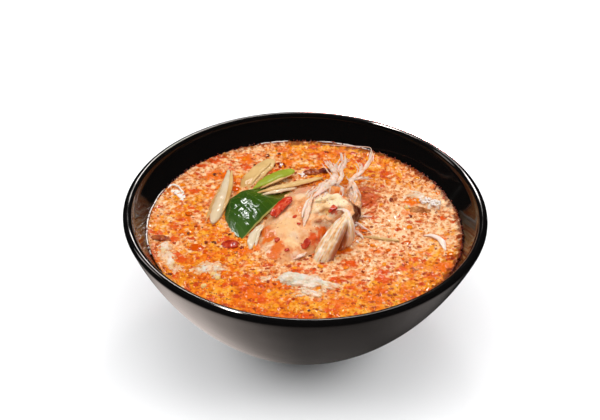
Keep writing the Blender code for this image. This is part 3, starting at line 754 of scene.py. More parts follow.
leaf_skin, tree, shader = finish("waxy_lime_leaf", Roughness=0.16, IOR=1.46, Coat_Weight=0.6,
                                 Coat_Roughness=0.05)
marks = node(tree, "ShaderNodeAttribute", attribute_name="marks").outputs["Vector"]
marks = node(tree, "ShaderNodeSeparateXYZ", [marks]).outputs
spot = node(tree, "ShaderNodeTexCoord").outputs["Object"]
mottle = node(tree, "ShaderNodeTexNoise", {
    "Vector": spot, "Scale": 1 / (6 * MM), "Detail": 3.0, "Roughness": 0.6})
ageing = node(tree, "ShaderNodeMath:MULTIPLY_ADD", [
    node(tree, "ShaderNodeMath:SUBTRACT", [mottle, 0.5]), 0.5, marks["X"]])
ground = node(tree, "ShaderNodeValToRGB", [ageing], stops=(
    (0.05, "#3c5a1e"), (0.35, "#2c4a14"), (0.6, "#33500f"), (0.8, "#4c5e14"), (0.97, "#6c5a1c")))
thin = node(tree, "ShaderNodeMath:SUBTRACT", [
    1.0, node(tree, "ShaderNodeMapRange", [marks["Z"], 0.02, 0.16], interpolation_type="SMOOTHSTEP")])
veined = node(tree, "ShaderNodeMix", {
    "Factor": node(tree, "ShaderNodeMath:MULTIPLY", [thin, 0.5]), "A": ground,
    "B": "#5f7a30"}, data_type="RGBA").outputs["Result"]
midrib = node(tree, "ShaderNodeMapRange", [marks["Y"], 0.955, 0.985], interpolation_type="SMOOTHSTEP")
veined = node(tree, "ShaderNodeMix", {
    "Factor": midrib, "A": veined, "B": "#a39a52"}, data_type="RGBA").outputs["Result"]
painted(shader, veined, node(tree, "ShaderNodeTexNoise", {
    "Vector": spot, "Scale": 1 / (0.9 * MM)}), 0.25, 0.4)
leaf = slab("lime_leaf_blade", lambda u, v: leaf_point(0.012 + 0.976 * u, v), 150, 70,
            ((0, 0, -LEAF_THICKNESS),) * 2, leaf_skin)
dressed(leaf, "glossy_leaf", "lime_leaf")
window = softbox("leaf_window", (-0.16, 0.75, 0.72), (0, 0, 0.06), 0.2, 0.15, 1.7)
lights_only(window, leaf)


# ---------------------------------------------------------------------------------------------
# The prawn: a peeled river prawn that stands out of the soup with its back up. Its cooked flesh is
# pale, moist and slightly see-through, creased between its plates and stained by the chilli oil.
# Painted shade darkens its right side by the caps, and painted light brightens its top and front foot.

PRAWN_WAIST = 61
PRAWN_BACK = ((-6, -31, 3.5, 12.0), (-8, -23, 6.8, 14.7), (-6.5, -12, 10.2, 17.4), (-1, -1, 12.6, 20.5),
              (4, 9, 13.6, 21.0), (8.5, 19, 12.0, 19.0), (12, 29, 8.4, 15.0), (15, 37, 4.6, 9.0))
PRAWN_PLATES = 7
PLATED_LENGTH = 66
VOXEL = 0.7 * MM


def merged(name, parts, voxel, finished, smoothing):
    """One skin over parts that run into each other."""
    whole = joined(name, parts)
    skin = whole.modifiers.new("skin", "REMESH")
    skin.mode = "VOXEL"
    skin.voxel_size = voxel
    soften = whole.modifiers.new("soften", "SMOOTH")
    soften.factor = 0.5
    soften.iterations = smoothing
    seen = whole.evaluated_get(bpy.context.evaluated_depsgraph_get())
    mesh = bpy.data.meshes.new_from_object(seen)
    bpy.data.objects.remove(whole)
    return piece(name, mesh, finished)


def moved(made, shift):
    """Push each vertex along its normal by shift(point in mm, normal), in mm."""
    mesh = made.data
    normals = [Vector(n.vector) for n in mesh.vertex_normals]
    for vertex, normal in zip(mesh.vertices, normals):
        vertex.co += normal * (shift(vertex.co / MM, normal) * MM)
    mesh.update()


def stain_and_painted_light(place, base, centre, radius, colour, strength=1.0, ragged=0.35):
    """Tint a surface around one point of the piece, as a stain or as painted light or shade: centre and
    radius in mm.
    """
    tree = place.id_data
    apart = node(tree, "ShaderNodeVectorMath:LENGTH", [
        node(tree, "ShaderNodeVectorMath:SUBTRACT", [
            place, tuple(c * MM for c in centre)])]).outputs["Value"]
    uneven = node(tree, "ShaderNodeMath:SUBTRACT", [
        node(tree, "ShaderNodeTexNoise", {
            "Vector": place, "Scale": 1 / (radius * 0.5 * MM), "Detail": 3.0, "Roughness": 0.6}), 0.5])
    apart = node(tree, "ShaderNodeMath:MULTIPLY_ADD", [uneven, radius * ragged * 4 * MM, apart])
    near = node(tree, "ShaderNodeMath:SUBTRACT", [
        1.0,
        node(tree, "ShaderNodeMapRange", [
            apart, 0.55 * radius * MM, radius * MM], interpolation_type="SMOOTHSTEP")])
    return node(tree, "ShaderNodeMix", {
        "Factor": node(tree, "ShaderNodeMath:MULTIPLY", [near, strength]), "A": base,
        "B": colour}, data_type="RGBA").outputs["Result"]


flesh, tree, shader = finish("cooked_prawn_flesh", Roughness=0.3, IOR=1.4, Coat_Weight=0.35,
                             Coat_Roughness=0.12, Subsurface_Weight=0.15, Subsurface_Scale=0.002)
shader.inputs["Subsurface Radius"].default_value = (1.0, 0.5, 0.25)
spot = node(tree, "ShaderNodeTexCoord").outputs["Object"]
cloud = node(tree, "ShaderNodeTexNoise", {
    "Vector": spot, "Scale": 1 / (6 * MM), "Detail": 4.0, "Roughness": 0.6})
base = node(tree, "ShaderNodeValToRGB", [cloud], stops=(
    (0.34, "#d97f44"), (0.43, "#e8a067"), (0.52, "#efb37e"), (0.64, "#f3cba2")))
# Stains of chilli oil and of pinker or paler flesh, with patches of painted light and shade among them
for centre, radius, colour, strength in (
        ((-14.0, 6.0, 70.0), 8.0, "#e59a74", 0.7), ((-4.0, 22.0, 70.0), 9.0, "#e69c7a", 0.8),
        ((6.0, 30.0, 70.0), 7.0, "#df8a56", 0.6), ((-9.0, -9.0, 71.0), 7.5, "#f1bf86", 0.8),
        # The pale patch on the top of the head is pale flesh, painted lighter to offset the shade in its
        # crumpled folds
        ((13.0, 3.0, 75.5), 11.0, "#f8e2b8", 0.95), ((9.0, 1.0, 75.0), 4.5, "#eeb06a", 0.7),
        ((-19.0, -8.0, 65.0), 4.6, "#e46a02", 0.95), ((-17.5, -14.4, 66.0), 4.6, "#e46a02", 0.95),
        ((-12.5, -21.5, 66.5), 4.4, "#e46a02", 0.95), ((-15.0, -25.0, 65.0), 4.5, "#e46a02", 0.95),
        ((4.8, -16.4, 69.0), 4.4, "#dc4e00", 0.97), ((9.0, -12.4, 70.5), 4.4, "#e05c00", 0.97),
        # The pale patch at the front foot is a painted highlight
        ((-3.6, -27.0, 65.0), 4.2, "#f1bfa0", 0.7), ((-6.4, -20.0, 68.5), 4.4, "#f8c890", 0.8),
        ((-7.5, -24.0, 66.5), 3.0, "#e0783a", 0.7),
        ((18.6, 13.0, 75.5), 5.4, "#e06c18", 0.97), ((15.6, 17.6, 75.5), 3.0, "#e48838", 0.8),
        ((10.6, -2.8, 75.0), 2.0, "#eaac38", 0.8), ((6.5, 3.0, 75.5), 1.6, "#e6b04a", 0.6),
        # The dark red-brown patches on the right of the head, beside the caps, are painted shade, partly
        # broth soaked into the flesh
        ((14.0, -2.4, 75.6), 2.8, "#dc5424", 0.9), ((24.6, 5.5, 68.5), 7.4, "#561a06", 0.98),
        ((22.6, 0.2, 71.0), 3.4, "#6a240a", 0.95),
        ((27.4, 13.0, 67.0), 4.5, "#a04a20", 0.8), ((27.0, 6.6, 65.5), 5.4, "#561a06", 0.98)):
    base = stain_and_painted_light(spot, base, centre, radius, colour, strength)
specks = node(tree, "ShaderNodeTexNoise", {"Vector": spot, "Scale": 1 / (1.1 * MM)})
thin = node(tree, "ShaderNodeTexNoise", {
    "Vector": node(tree, "ShaderNodeVectorMath:ADD", [spot, (0.2, 0.1, 0.0)]), "Scale": 1 / (4 * MM),
    "Detail": 1.0})
dotted = node(tree, "ShaderNodeMath:MULTIPLY", [
    node(tree, "ShaderNodeMapRange", [specks, 0.62, 0.68], interpolation_type="SMOOTHSTEP"),
    node(tree, "ShaderNodeMapRange", [thin, 0.48, 0.56], interpolation_type="SMOOTHSTEP")])
base = node(tree, "ShaderNodeMix", {
    "Factor": node(tree, "ShaderNodeMath:MULTIPLY", [dotted, 0.8]), "A": base,
    "B": "#b8441a"}, data_type="RGBA").outputs["Result"]
muscle = node(tree, "ShaderNodeVectorMath:MULTIPLY", [spot, (1, 0.35, 1)])
painted(shader, base, node(tree, "ShaderNodeTexNoise", {
    "Vector": muscle, "Scale": 1 / (0.9 * MM), "Detail": 3.0, "Roughness": 0.6}))

flaps = [strip(name, spine, flesh, Uneven=0.0026, Lump_Size=0.0035, Steps=70) for name, spine in (
    ("crest_flap", ((12.5, 2.4, 75.2, 1.6, 0.9), (18.6, 1.4, 76.8, 2.8, 1.1), (21.6, -3.6, 76.6, 2.8, 1.1),
                    (21.8, -9.0, 75.4, 2.0, 0.9))),
    ("head_flap", ((1.6, 8.0, 73.8, 1.2, 0.8), (6.4, 6.4, 75.8, 2.2, 0.9), (12.0, 8.4, 76.6, 2.4, 1.0),
                   (18.0, 7.6, 76.2, 1.6, 0.8))),
    ("cheek_flap", ((4.0, -2.6, 73.8, 1.2, 0.8), (8.6, 0.4, 75.6, 2.0, 0.9), (14.6, -1.4, 76.4, 1.8, 0.8))),
    ("cheek_fold", ((3.0, -8.0, 72.0, 1.0, 0.7), (7.6, -6.6, 74.4, 1.8, 0.9),
                    (13.0, -9.4, 74.6, 1.6, 0.8))))]
back = strip("prawn_back", [(x, y, PRAWN_WAIST, wide, deep) for x, y, deep, wide in PRAWN_BACK], flesh,
             Blunt=5.0, Crest=1.2, Steps=120, Sides=80)
head = strip("prawn_head", ((6, -2, 66, 6, 7), (14, 2, 67, 9.0, 9), (19, 8, 66.5, 8, 8.8),
                            (23, 15, 65, 5, 6)), flesh, Steps=60, Sides=48, Uneven=0.003, Lump_Size=0.007)
shoulder = strip("prawn_shoulder", ((4, 24, 68, 5, 5), (12, 20, 70.5, 6, 5.5), (19, 15, 70.5, 4.5, 5)),
                 flesh, Steps=60, Sides=48, Uneven=0.003, Lump_Size=0.006)


def prawn_shape(point, normal):
    """The folds between the plates, the crease down the crest and the softness of the flesh, in mm."""
    if point.z < PRAWN_WAIST + 1:
        return 0
    run = (point.y - PRAWN_BACK[0][1]) / PLATED_LENGTH
    plate = (run * PRAWN_PLATES + 0.04 * point.x) % 1
    fold = 0.55 * (plate - 0.5) * min(1, 6 * (1 - plate))
    line = point.x - (1.2 + 0.22 * point.y) - 1.2 * noise.noise(Vector((0, point.y / 5, 7)))
    crease = -1.7 * math.exp(-(line / 1.3) ** 2) * max(0, min(1, (point.y + 12) / 8, (16 - point.y) / 6))
    soft = 1.3 * noise.noise(point / 7) + 0.5 * noise.noise(point / 2.6 + Vector((9, 0, 0)))
    # The head end is torn open and lies in crumpled folds, while the back stays smooth
    torn = max(0, min(1, (point.x - 3 - 0.12 * point.y) / 5)) * max(0, min(1, (point.z - 65) / 4))
    crumple = (1.4 * abs(noise.noise(point / 4.2))
               + 0.8 * abs(noise.noise(point / 2.0 + Vector((0, 5, 0)))) - 0.8)
    return fold + crease + soft * normal.z ** 2 - torn * crumple


side = strip("head_side", ((22.5, 25, 71, 2.4, 2.4), (24.4, 20, 70.5, 3.2, 3.4),
                           (24.8, 14.5, 68.5, 3.0, 3.6), (25.2, 8.5, 66.5, 3.0, 3.4),
                           (25.0, 3, 64.5, 2.2, 2.4)),
             flesh, Steps=60, Sides=48, Uneven=0.003, Lump_Size=0.004)
prawn = merged("prawn_flesh", [back, head, shoulder, side, *flaps], VOXEL, flesh, 3)
moved(prawn, prawn_shape)
dressed(prawn, "cooked_prawn", "prawn")

shell, tree, shader = finish("boiled_prawn_shell", Roughness=0.32, IOR=1.42, Coat_Weight=0.2,
                             Coat_Roughness=0.15, Subsurface_Weight=0.2, Subsurface_Scale=0.0015)
along = node(tree, "ShaderNodeAttribute", attribute_name="along").outputs["Fac"]
spot = node(tree, "ShaderNodeTexCoord").outputs["Object"]
cloud = node(tree, "ShaderNodeMath:MULTIPLY_ADD", [
    node(tree, "ShaderNodeMath:SUBTRACT", [
        node(tree, "ShaderNodeTexNoise", {"Vector": spot, "Scale": 1 / (2.6 * MM), "Detail": 3.0}), 0.5]),
    1.6, along])
base = node(tree, "ShaderNodeValToRGB", [cloud], stops=(
    (0.0, "#d88a52"), (0.2, "#e2a47a"), (0.4, "#ebc2a6"), (0.65, "#f0d4c6"), (0.85, "#e8bc9c"),
    (1.0, "#dc9c6c")))
painted(shader, base)

LEGS = (
    ("walking_leg_left", 90, ((3.6, 9.4, 74.8, 1.6, 1.0), (7.6, 13.6, 76.0, 1.9, 1.2),
                              (12.4, 20.0, 76.6, 2.0, 1.3), (14.8, 27.2, 76.0, 1.7, 1.2),
                              (13.8, 34.4, 74.8, 1.3, 1.0), (10.6, 46.0, 73.2, 0.6, 0.5))),
    ("leg_fork", 64, ((14.0, 33, 75.0, 1.0, 0.7), (15.2, 38, 74.6, 0.8, 0.6),
                      (13.8, 43.0, 73.6, 0.35, 0.3))),
    ("walking_leg_middle", 90, ((15.0, 19.5, 73.8, 1.2, 1.1), (17.0, 23.4, 76.0, 1.4, 1.0),
                                (18.4, 28, 76.0, 1.1, 0.9), (18.0, 33.4, 75.4, 1.0, 0.8),
                                (20.4, 43, 74.0, 0.8, 0.7), (19.9, 53.2, 73.2, 0.4, 0.35))),
    ("middle_leg_branch", 64, ((18.4, 29, 75.6, 0.9, 0.7), (16.8, 36, 75.0, 0.7, 0.6),
                               (18.6, 43, 74.0, 0.6, 0.5), (21.8, 48, 73.4, 0.35, 0.3))),
    ("walking_leg_right", 90, ((21.4, 19, 73.0, 1.1, 0.9), (22.8, 23, 75.0, 1.3, 1.0),
                               (24.8, 28, 75.2, 1.2, 0.9), (28.4, 32.2, 75.6, 1.0, 0.8),
                               (33.0, 42.4, 76.2, 0.7, 0.6), (34.6, 50.6, 76.8, 0.35, 0.3))),
    ("right_leg_branch", 64, ((23.4, 25, 75.0, 0.9, 0.7), (27.6, 28.6, 74.2, 0.7, 0.6),
                              (32.4, 31.4, 73.0, 0.35, 0.3))),
    ("right_leg_tip", 64, ((27.0, 31, 75.4, 0.6, 0.5), (28.6, 37, 75.2, 0.5, 0.4),
                           (27.6, 43.0, 74.4, 0.25, 0.25))),
    ("elbow_left", 64, ((6, 14, 75.0, 1.2, 1.0), (10.2, 17.4, 77.0, 1.5, 1.1),
                        (15.6, 20.4, 76.6, 1.0, 0.8))),
    ("split_shell", 64, ((21.6, 26.5, 75.0, 0.9, 0.7), (24.4, 21.8, 74.2, 1.4, 0.9),
                         (25.8, 17.6, 72.0, 1.3, 0.9), (26.0, 14.0, 68.4, 0.8, 0.7))))
legs = [strip(name, spine, shell, Uneven=0.0014, Lump_Size=0.003, Steps=steps, Ribs=3,
              Rib_Depth=0.1) for name, steps, spine in LEGS]
legs.append(strip("feeler", ((34.2, 50.4, 76.5, 0.28, 0.28), (33.6, 57, 74.6, 0.25, 0.25),
                             (29, 65, 70, 0.25, 0.25), (20, 72.5, 65.5, 0.22, 0.22),
                             (8, 75.6, 64.0, 0.2, 0.2)), shell, Steps=90, Sides=8))
# Their shell has split lengthwise, so that loose fibres follow every leg
fray = random.Random(4)
for name, steps, spine in LEGS:
    for number in range(5):
        off = Vector([fray.uniform(-1.5, 1.5), fray.uniform(-1.5, 1.5), fray.uniform(-0.4, 0.9)])
        first = fray.randrange(len(spine) - 1)
        rows = [(x + off.x * (1 + 0.4 * k), y + off.y, z + off.z - 0.4 * k, 0.32, 0.26)
                for k, (x, y, z, wide, deep) in enumerate(spine[first:first + 4])]
        legs.append(strip("%s_fibre_%d" % (name, number), rows, shell, Steps=40, Sides=8, Uneven=0.0014,
                          Lump_Size=0.003))
dressed(joined("prawn_legs", legs), "cooked_prawn")

# Torn strings of flesh and shell run from the legs down over the mound
resting = BVHTree.FromObject(prawn, bpy.context.evaluated_depsgraph_get())


def ground(x, y, lift=0.0):
    """The point of the prawn's skin at x and y, or of the soup beside it, in mm."""
    hit = resting.ray_cast(Vector((x, y, 90)) * MM, Vector((0, 0, -1)))[0]
    return Vector((x, y, max(SOUP_LEVEL / MM + 0.2, hit.z / MM if hit else 0) + lift))


draw = random.Random(11)
strings = []
for (left, right), (near, far), (drift_low, drift_high), (short, long), count in (
        ((6, 15), (15, 27), (-8, -2), (8, 17), 20), ((20, 25), (19, 29), (-1, 3), (6, 13), 14),
        ((15, 20), (20, 27), (-2, 1), (4, 8), 6)):
    for number in range(count):
        start_x, start_y = draw.uniform(left, right), draw.uniform(near, far)
        end_x, end_y = start_x + draw.uniform(drift_low, drift_high), start_y - draw.uniform(short, long)
        bend = draw.uniform(-1.8, 1.8)
        thick = draw.uniform(0.22, 0.6)
        rows = []
        for k in range(6):
            share = k / 5
            x = start_x + (end_x - start_x) * share + bend * math.sin(math.pi * share)
            y = start_y + (end_y - start_y) * share
            rows.append((*ground(x, y, 0.4 * math.sin(math.pi * share) * draw.random()), thick,
                         thick * 0.5))
        strings.append(strip("string_%d" % number, rows, shell, Steps=36, Sides=9, Uneven=0.0010,
                             Lump_Size=0.002))
for name, spine in (
        ("loose_fibre_upper", ((24.6, 6.0, 65.4, 0.6, 0.5), (29.0, 8.4, 64.6, 0.5, 0.4),
                               (34.0, 9.0, 64.0, 0.35, 0.3))),
        ("loose_fibre_lower", ((24.4, 3.2, 65.2, 0.7, 0.5), (28.4, 0.4, 64.4, 0.6, 0.4),
                               (33.6, -4.4, 63.8, 0.4, 0.3))),
        ("loose_fibre_short", ((24.0, -3.0, 64.8, 0.7, 0.5), (27.6, -6.8, 64.2, 0.8, 0.5),
                               (29.0, -10.0, 63.8, 0.5, 0.4))),
        # The pale shred at the front foot lies where the front edge shows its highlight: partly a shred,
        # partly a painted highlight
        ("foot_shred", ((-5.4, -28.2, 64.4, 0.5, 0.4), (-1.6, -25.8, 64.9, 1.0, 0.6),
                        (1.4, -23.0, 65.0, 0.5, 0.4)))):
    strings.append(strip(name, spine, shell, Uneven=0.0014, Lump_Size=0.002))
dressed(joined("prawn_strings", strings), "cooked_prawn")


# ---------------------------------------------------------------------------------------------
# The oyster mushroom: two torn caps that lean on the prawn with their gills out, and a shred of
# stem in its crease. The flesh is pale, silky and fibrous. Painted shade darkens the hollows of its
# folds, and the crease between the caps is painted brown, partly broth soaked in and partly shade.

LARGE_CAP = (((16.0, -11.6, 77.2), (9.8, -17.6, 72.2), (2.6, -26.0, 62.0)),
             ((18.6, -11.4, 78.4), (14.6, -20.0, 74.4), (7.6, -29.2, 61.8)),
             ((20.8, -11.0, 78.2), (19.6, -18.4, 74.6), (13.0, -27.6, 61.5)))
SMALL_CAP = (((20.8, -4.4, 77.0), (24.0, -11.6, 73.0), (22.7, -14.4, 61.5)),
             ((19.8, -7.2, 78.0), (22.2, -16.6, 73.6), (20.0, -16.8, 61.5)),
             ((17.6, -9.4, 77.4), (18.4, -15.6, 71.8), (15.6, -20.0, 61.5)))
CAP_BOW = 0.7
CAP_FOLD = 0.4
CAP_DEPTHS = ((0, 1.0, -1.0), (0, 1.6, -1.0))


def through(three, share):
    """The smooth path through three points, as share goes from 0 to 1."""
    a, b, c = (Vector(p) for p in three)
    return a + (4 * b - 3 * a - c) * share + (2 * a - 4 * b + 2 * c) * share ** 2


def gilled(ribs, folds, seed, soak_and_shade_offset):
    """The face of a torn cap: folds run down it, fine gills lie on them, and its foot is ragged."""
    def point(u, v):
        wander = v + 0.05 * noise.noise(Vector((u * 3, v * 5, seed)))
        wander += 0.07 * noise.noise(Vector((v * 4, seed, 9)))
        fold = 0.5 - 0.5 * math.cos(2 * math.pi * folds * wander)
        gill = 0.5 + 0.5 * math.cos(2 * math.pi * folds * 5 * wander + 3 * u)
        reach = u * (0.94 + 0.2 * noise.noise(Vector((v * 6, seed, 2))) * u)
        place = through([through(rib, reach) for rib in ribs], v)
        proud = (CAP_FOLD * fold + 0.09 * gill) * min(1, 3 * u) + CAP_BOW * math.sin(math.pi * v)
        proud += 0.8 * noise.noise(place / 4) + 0.35 * noise.noise(place / 1.6)
        # The second mark says how far across the face the brown of the crease reaches, the third gives the
        # fold, for the painted shade in its hollows
        return place + Vector((0, -0.6, 0.8)) * proud, v - soak_and_shade_offset, fold
    return point


caps_flesh, tree, shader = finish("oyster_mushroom_gills", Roughness=0.4, IOR=1.38, Coat_Weight=0.3,
                                  Coat_Roughness=0.15, Subsurface_Weight=0.2, Subsurface_Scale=0.002)
marks = node(tree, "ShaderNodeAttribute", attribute_name="marks").outputs["Vector"]
marks = node(tree, "ShaderNodeSeparateXYZ", [marks]).outputs
drawn = node(tree, "ShaderNodeCombineXYZ", {
    "X": node(tree, "ShaderNodeMath:MULTIPLY", [marks["Y"], 10 * MM]),
    "Y": node(tree, "ShaderNodeMath:MULTIPLY", [marks["X"], 4 * MM])})
streak = node(tree, "ShaderNodeTexNoise", {
    "Vector": drawn, "Scale": 1 / (1.3 * MM), "Detail": 3.0, "Roughness": 0.6})
# The streaks give the colour; the fold adds a little painted shade, darker in the hollows between folds and
# lighter on their crests
depth = node(tree, "ShaderNodeMath:MULTIPLY_ADD", [
    node(tree, "ShaderNodeMath:SUBTRACT", [streak, 0.5]), 1.9,
    node(tree, "ShaderNodeMath:MULTIPLY_ADD", [marks["Z"], 0.1, 0.5])])
base = node(tree, "ShaderNodeValToRGB", [depth], stops=(
    (0.05, "#ca7630"), (0.25, "#e29c58"), (0.42, "#edbe86"), (0.6, "#f3d6b2"), (0.8, "#f8e8da"),
    (0.95, "#faeee8")))
# Brown along the crease between the caps, on the large cap's right and the small cap's left: painted shade,
# partly broth soaked in
soaked_and_crease_shade = node(tree, "ShaderNodeMath:MULTIPLY", [
    node(tree, "ShaderNodeMapRange", [marks["Y"], 0.26, 0.62], interpolation_type="SMOOTHSTEP"),
    node(tree, "ShaderNodeMapRange", [marks["X"], 0.2, 0.7], interpolation_type="SMOOTHSTEP")])
base = node(tree, "ShaderNodeMix", {
    "Factor": node(tree, "ShaderNodeMath:MULTIPLY", [soaked_and_crease_shade, 0.9]), "A": base,
    "B": "#a4480e"}, data_type="RGBA").outputs["Result"]
painted(shader, base, streak, 0.5, 0.4)

dressed(slab("oyster_cap_left", gilled(LARGE_CAP, 1.8, 0.3, 0.34), 70, 120, CAP_DEPTHS, caps_flesh),
        "mushroom_flesh", "oyster_cap_large")
dressed(slab("oyster_cap_right", gilled(SMALL_CAP, 1.0, 4.1, 0.2), 60, 80, CAP_DEPTHS, caps_flesh),
        "mushroom_flesh", "oyster_cap_small")

silky, tree, shader = finish("oyster_mushroom_stem", Roughness=0.35, IOR=1.38, Coat_Weight=0.3,
                             Coat_Roughness=0.15, Subsurface_Weight=0.25, Subsurface_Scale=0.002)
fibre = node(tree, "ShaderNodeAttribute", attribute_name="fibre").outputs["Vector"]
streak = node(tree, "ShaderNodeTexNoise", {
    "Vector": node(tree, "ShaderNodeVectorMath:MULTIPLY", [fibre, (1, 1, 0.12)]), "Scale": 1 / (0.6 * MM),
    "Detail": 3.0})
painted(shader, node(tree, "ShaderNodeValToRGB", [streak], stops=(
    (0.3, "#dc9c6c"), (0.45, "#ecc4a2"), (0.6, "#f5dccc"))), streak, 0.5, 0.3)
crest = strip("cap_crest", ((15.2, -3.2, 76.4, 0.8, 0.5), (18.4, -4.6, 77.9, 1.2, 0.7),
                            (20.6, -7.6, 78.2, 1.2, 0.7), (21.8, -10.8, 77.6, 1.1, 0.7),
                            (23.2, -12.6, 75.0, 0.9, 0.6), (23.9, -13.4, 71.0, 0.7, 0.5),
                            (23.9, -12.4, 64.0, 0.5, 0.4)), silky, Uneven=0.0012, Lump_Size=0.003, Steps=90)
dressed(crest, "mushroom_flesh")
shred = [
    strip("shred_core", ((4.4, 10.0, 76.4, 0.5, 0.5), (2.2, 4.0, 75.6, 1.0, 0.7),
                         (0.8, -3.4, 73.8, 1.3, 0.8),
                         (-0.8, -10.6, 71.0, 0.9, 0.6)), silky, Ribs=5, Rib_Depth=0.1, Uneven=0.0015,
                         Lump_Size=0.003),
    strip("shred_edge", ((1.8, 7.0, 76.2, 0.4, 0.4), (-0.4, 0.5, 75.2, 0.7, 0.6),
                         (-1.6, -6.0, 73.4, 0.5, 0.5)), silky,
          Uneven=0.001, Lump_Size=0.003),
]
dressed(joined("oyster_stem_shred", shred), "mushroom_flesh", "oyster_shred")


# ---------------------------------------------------------------------------------------------
# The floating mushroom pieces: torn oyster mushroom that rides low in the soup. Wet, cream white
# domes with uneven edges, over which the broth laps.

lump_tree, sizes, outlet = geometry_tree("uneven_lump", Half_Sizes=(0.01, 0.005, 0.003),
                                         Centre=(0.0, 0.0, 0.0), Turn=0.0, Uneven=0.5, Detail=0.0005,
                                         Detail_Size=0.0018)
tree = lump_tree
ball = node(tree, "GeometryNodeMeshIcoSphere", {"Radius": 1.0, "Subdivisions": 6})
place = node(tree, "GeometryNodeInputPosition")
elsewhere = node(tree, "ShaderNodeVectorMath:ADD", [
    place, node(tree, "ShaderNodeVectorMath:SCALE", {0: sizes["Centre"], "Scale": 60.0})])
coarse = node(tree, "ShaderNodeTexNoise", {"Vector": elsewhere, "Scale": 1.5}).outputs["Fac"]
grow = node(tree, "ShaderNodeMath:MULTIPLY_ADD", [
    node(tree, "ShaderNodeMath:SUBTRACT", [coarse, 0.5]), sizes["Uneven"], 1.0])
place = node(tree, "ShaderNodeVectorMath:MULTIPLY", [
    node(tree, "ShaderNodeVectorMath:SCALE", {0: place, "Scale": grow}), sizes["Half_Sizes"]])
place = node(tree, "ShaderNodeVectorRotate", {"Vector": place, "Angle": sizes["Turn"]},
             rotation_type="Z_AXIS").outputs[0]
place = node(tree, "ShaderNodeVectorMath:ADD", [place, sizes["Centre"]])
push = jitter(place, node(tree, "ShaderNodeMath:DIVIDE", [
    1.0, sizes["Detail_Size"]]), 2.0, sizes["Detail"])
shaped = node(tree, "GeometryNodeSetPosition", {
    "Geometry": ball, "Position": node(tree, "ShaderNodeVectorMath:ADD", [place, push])})
end_tree(tree, shaped, outlet)


def lump(name, centre, half_sizes, turn, finished, **shape):
    """A rounded, uneven piece: centre and half sizes in mm, turned about Z by degrees."""
    return grown(name, lump_tree, finished, Centre=tuple(c * MM for c in centre), Turn=math.radians(turn),
                 Half_Sizes=tuple(h * MM for h in half_sizes), **shape)


mushroom, tree, shader = finish("wet_mushroom", Roughness=0.28, IOR=1.38, Coat_Weight=0.4,
                                Coat_Roughness=0.1, Subsurface_Weight=0.25, Subsurface_Scale=0.003)
spot = node(tree, "ShaderNodeTexCoord").outputs["Object"]
cloud = node(tree, "ShaderNodeTexNoise", {
    "Vector": spot, "Scale": 1 / (3.5 * MM), "Detail": 4.0, "Roughness": 0.6})
base = node(tree, "ShaderNodeValToRGB", [cloud], stops=(
    (0.32, "#d0a47c"), (0.42, "#e0c4a6"), (0.54, "#e9d5c0"), (0.68, "#eee0d2")))
# The broth laps over the edges, so they take on its colour and its dots
lapped = node(tree, "ShaderNodeMath:MULTIPLY_ADD", [
    cloud, 0.004, node(tree, "ShaderNodeSeparateXYZ", [spot]).outputs["Z"]])
wet = node(tree, "ShaderNodeMath:SUBTRACT", [
    1.0,
    node(tree, "ShaderNodeMapRange", [lapped, 65.2 * MM, 66.6 * MM], interpolation_type="SMOOTHSTEP")])
film = node(tree, "ShaderNodeValToRGB", [
    node(tree, "ShaderNodeTexNoise", {
        "Vector": spot, "Scale": 1 / (1.4 * MM), "Detail": 3.0,
        "Roughness": 0.6})], stops=((0.34, "#b8561c"), (0.42, "#de8c4a"), (0.52, "#ebb27c"),
                                    (0.64, "#f2cba0")))
base = node(tree, "ShaderNodeMix", {
    "Factor": wet, "A": base, "B": film}, data_type="RGBA").outputs["Result"]
painted(shader, base, cloud, 0.4, 1)

soaked_and_crease_shade, tree, shader = finish("broth_soaked_mushroom", Roughness=0.25, IOR=1.38, Coat_Weight=0.4,
                              Coat_Roughness=0.1)
cloud = node(tree, "ShaderNodeTexNoise", {
    "Vector": node(tree, "ShaderNodeTexCoord").outputs["Object"], "Scale": 1 / (3 * MM), "Detail": 3.0,
    "Roughness": 0.6})
painted(shader, node(tree, "ShaderNodeValToRGB", [cloud], stops=(
    (0.34, "#8a4216"), (0.48, "#b0662c"), (0.64, "#cf9258"))))

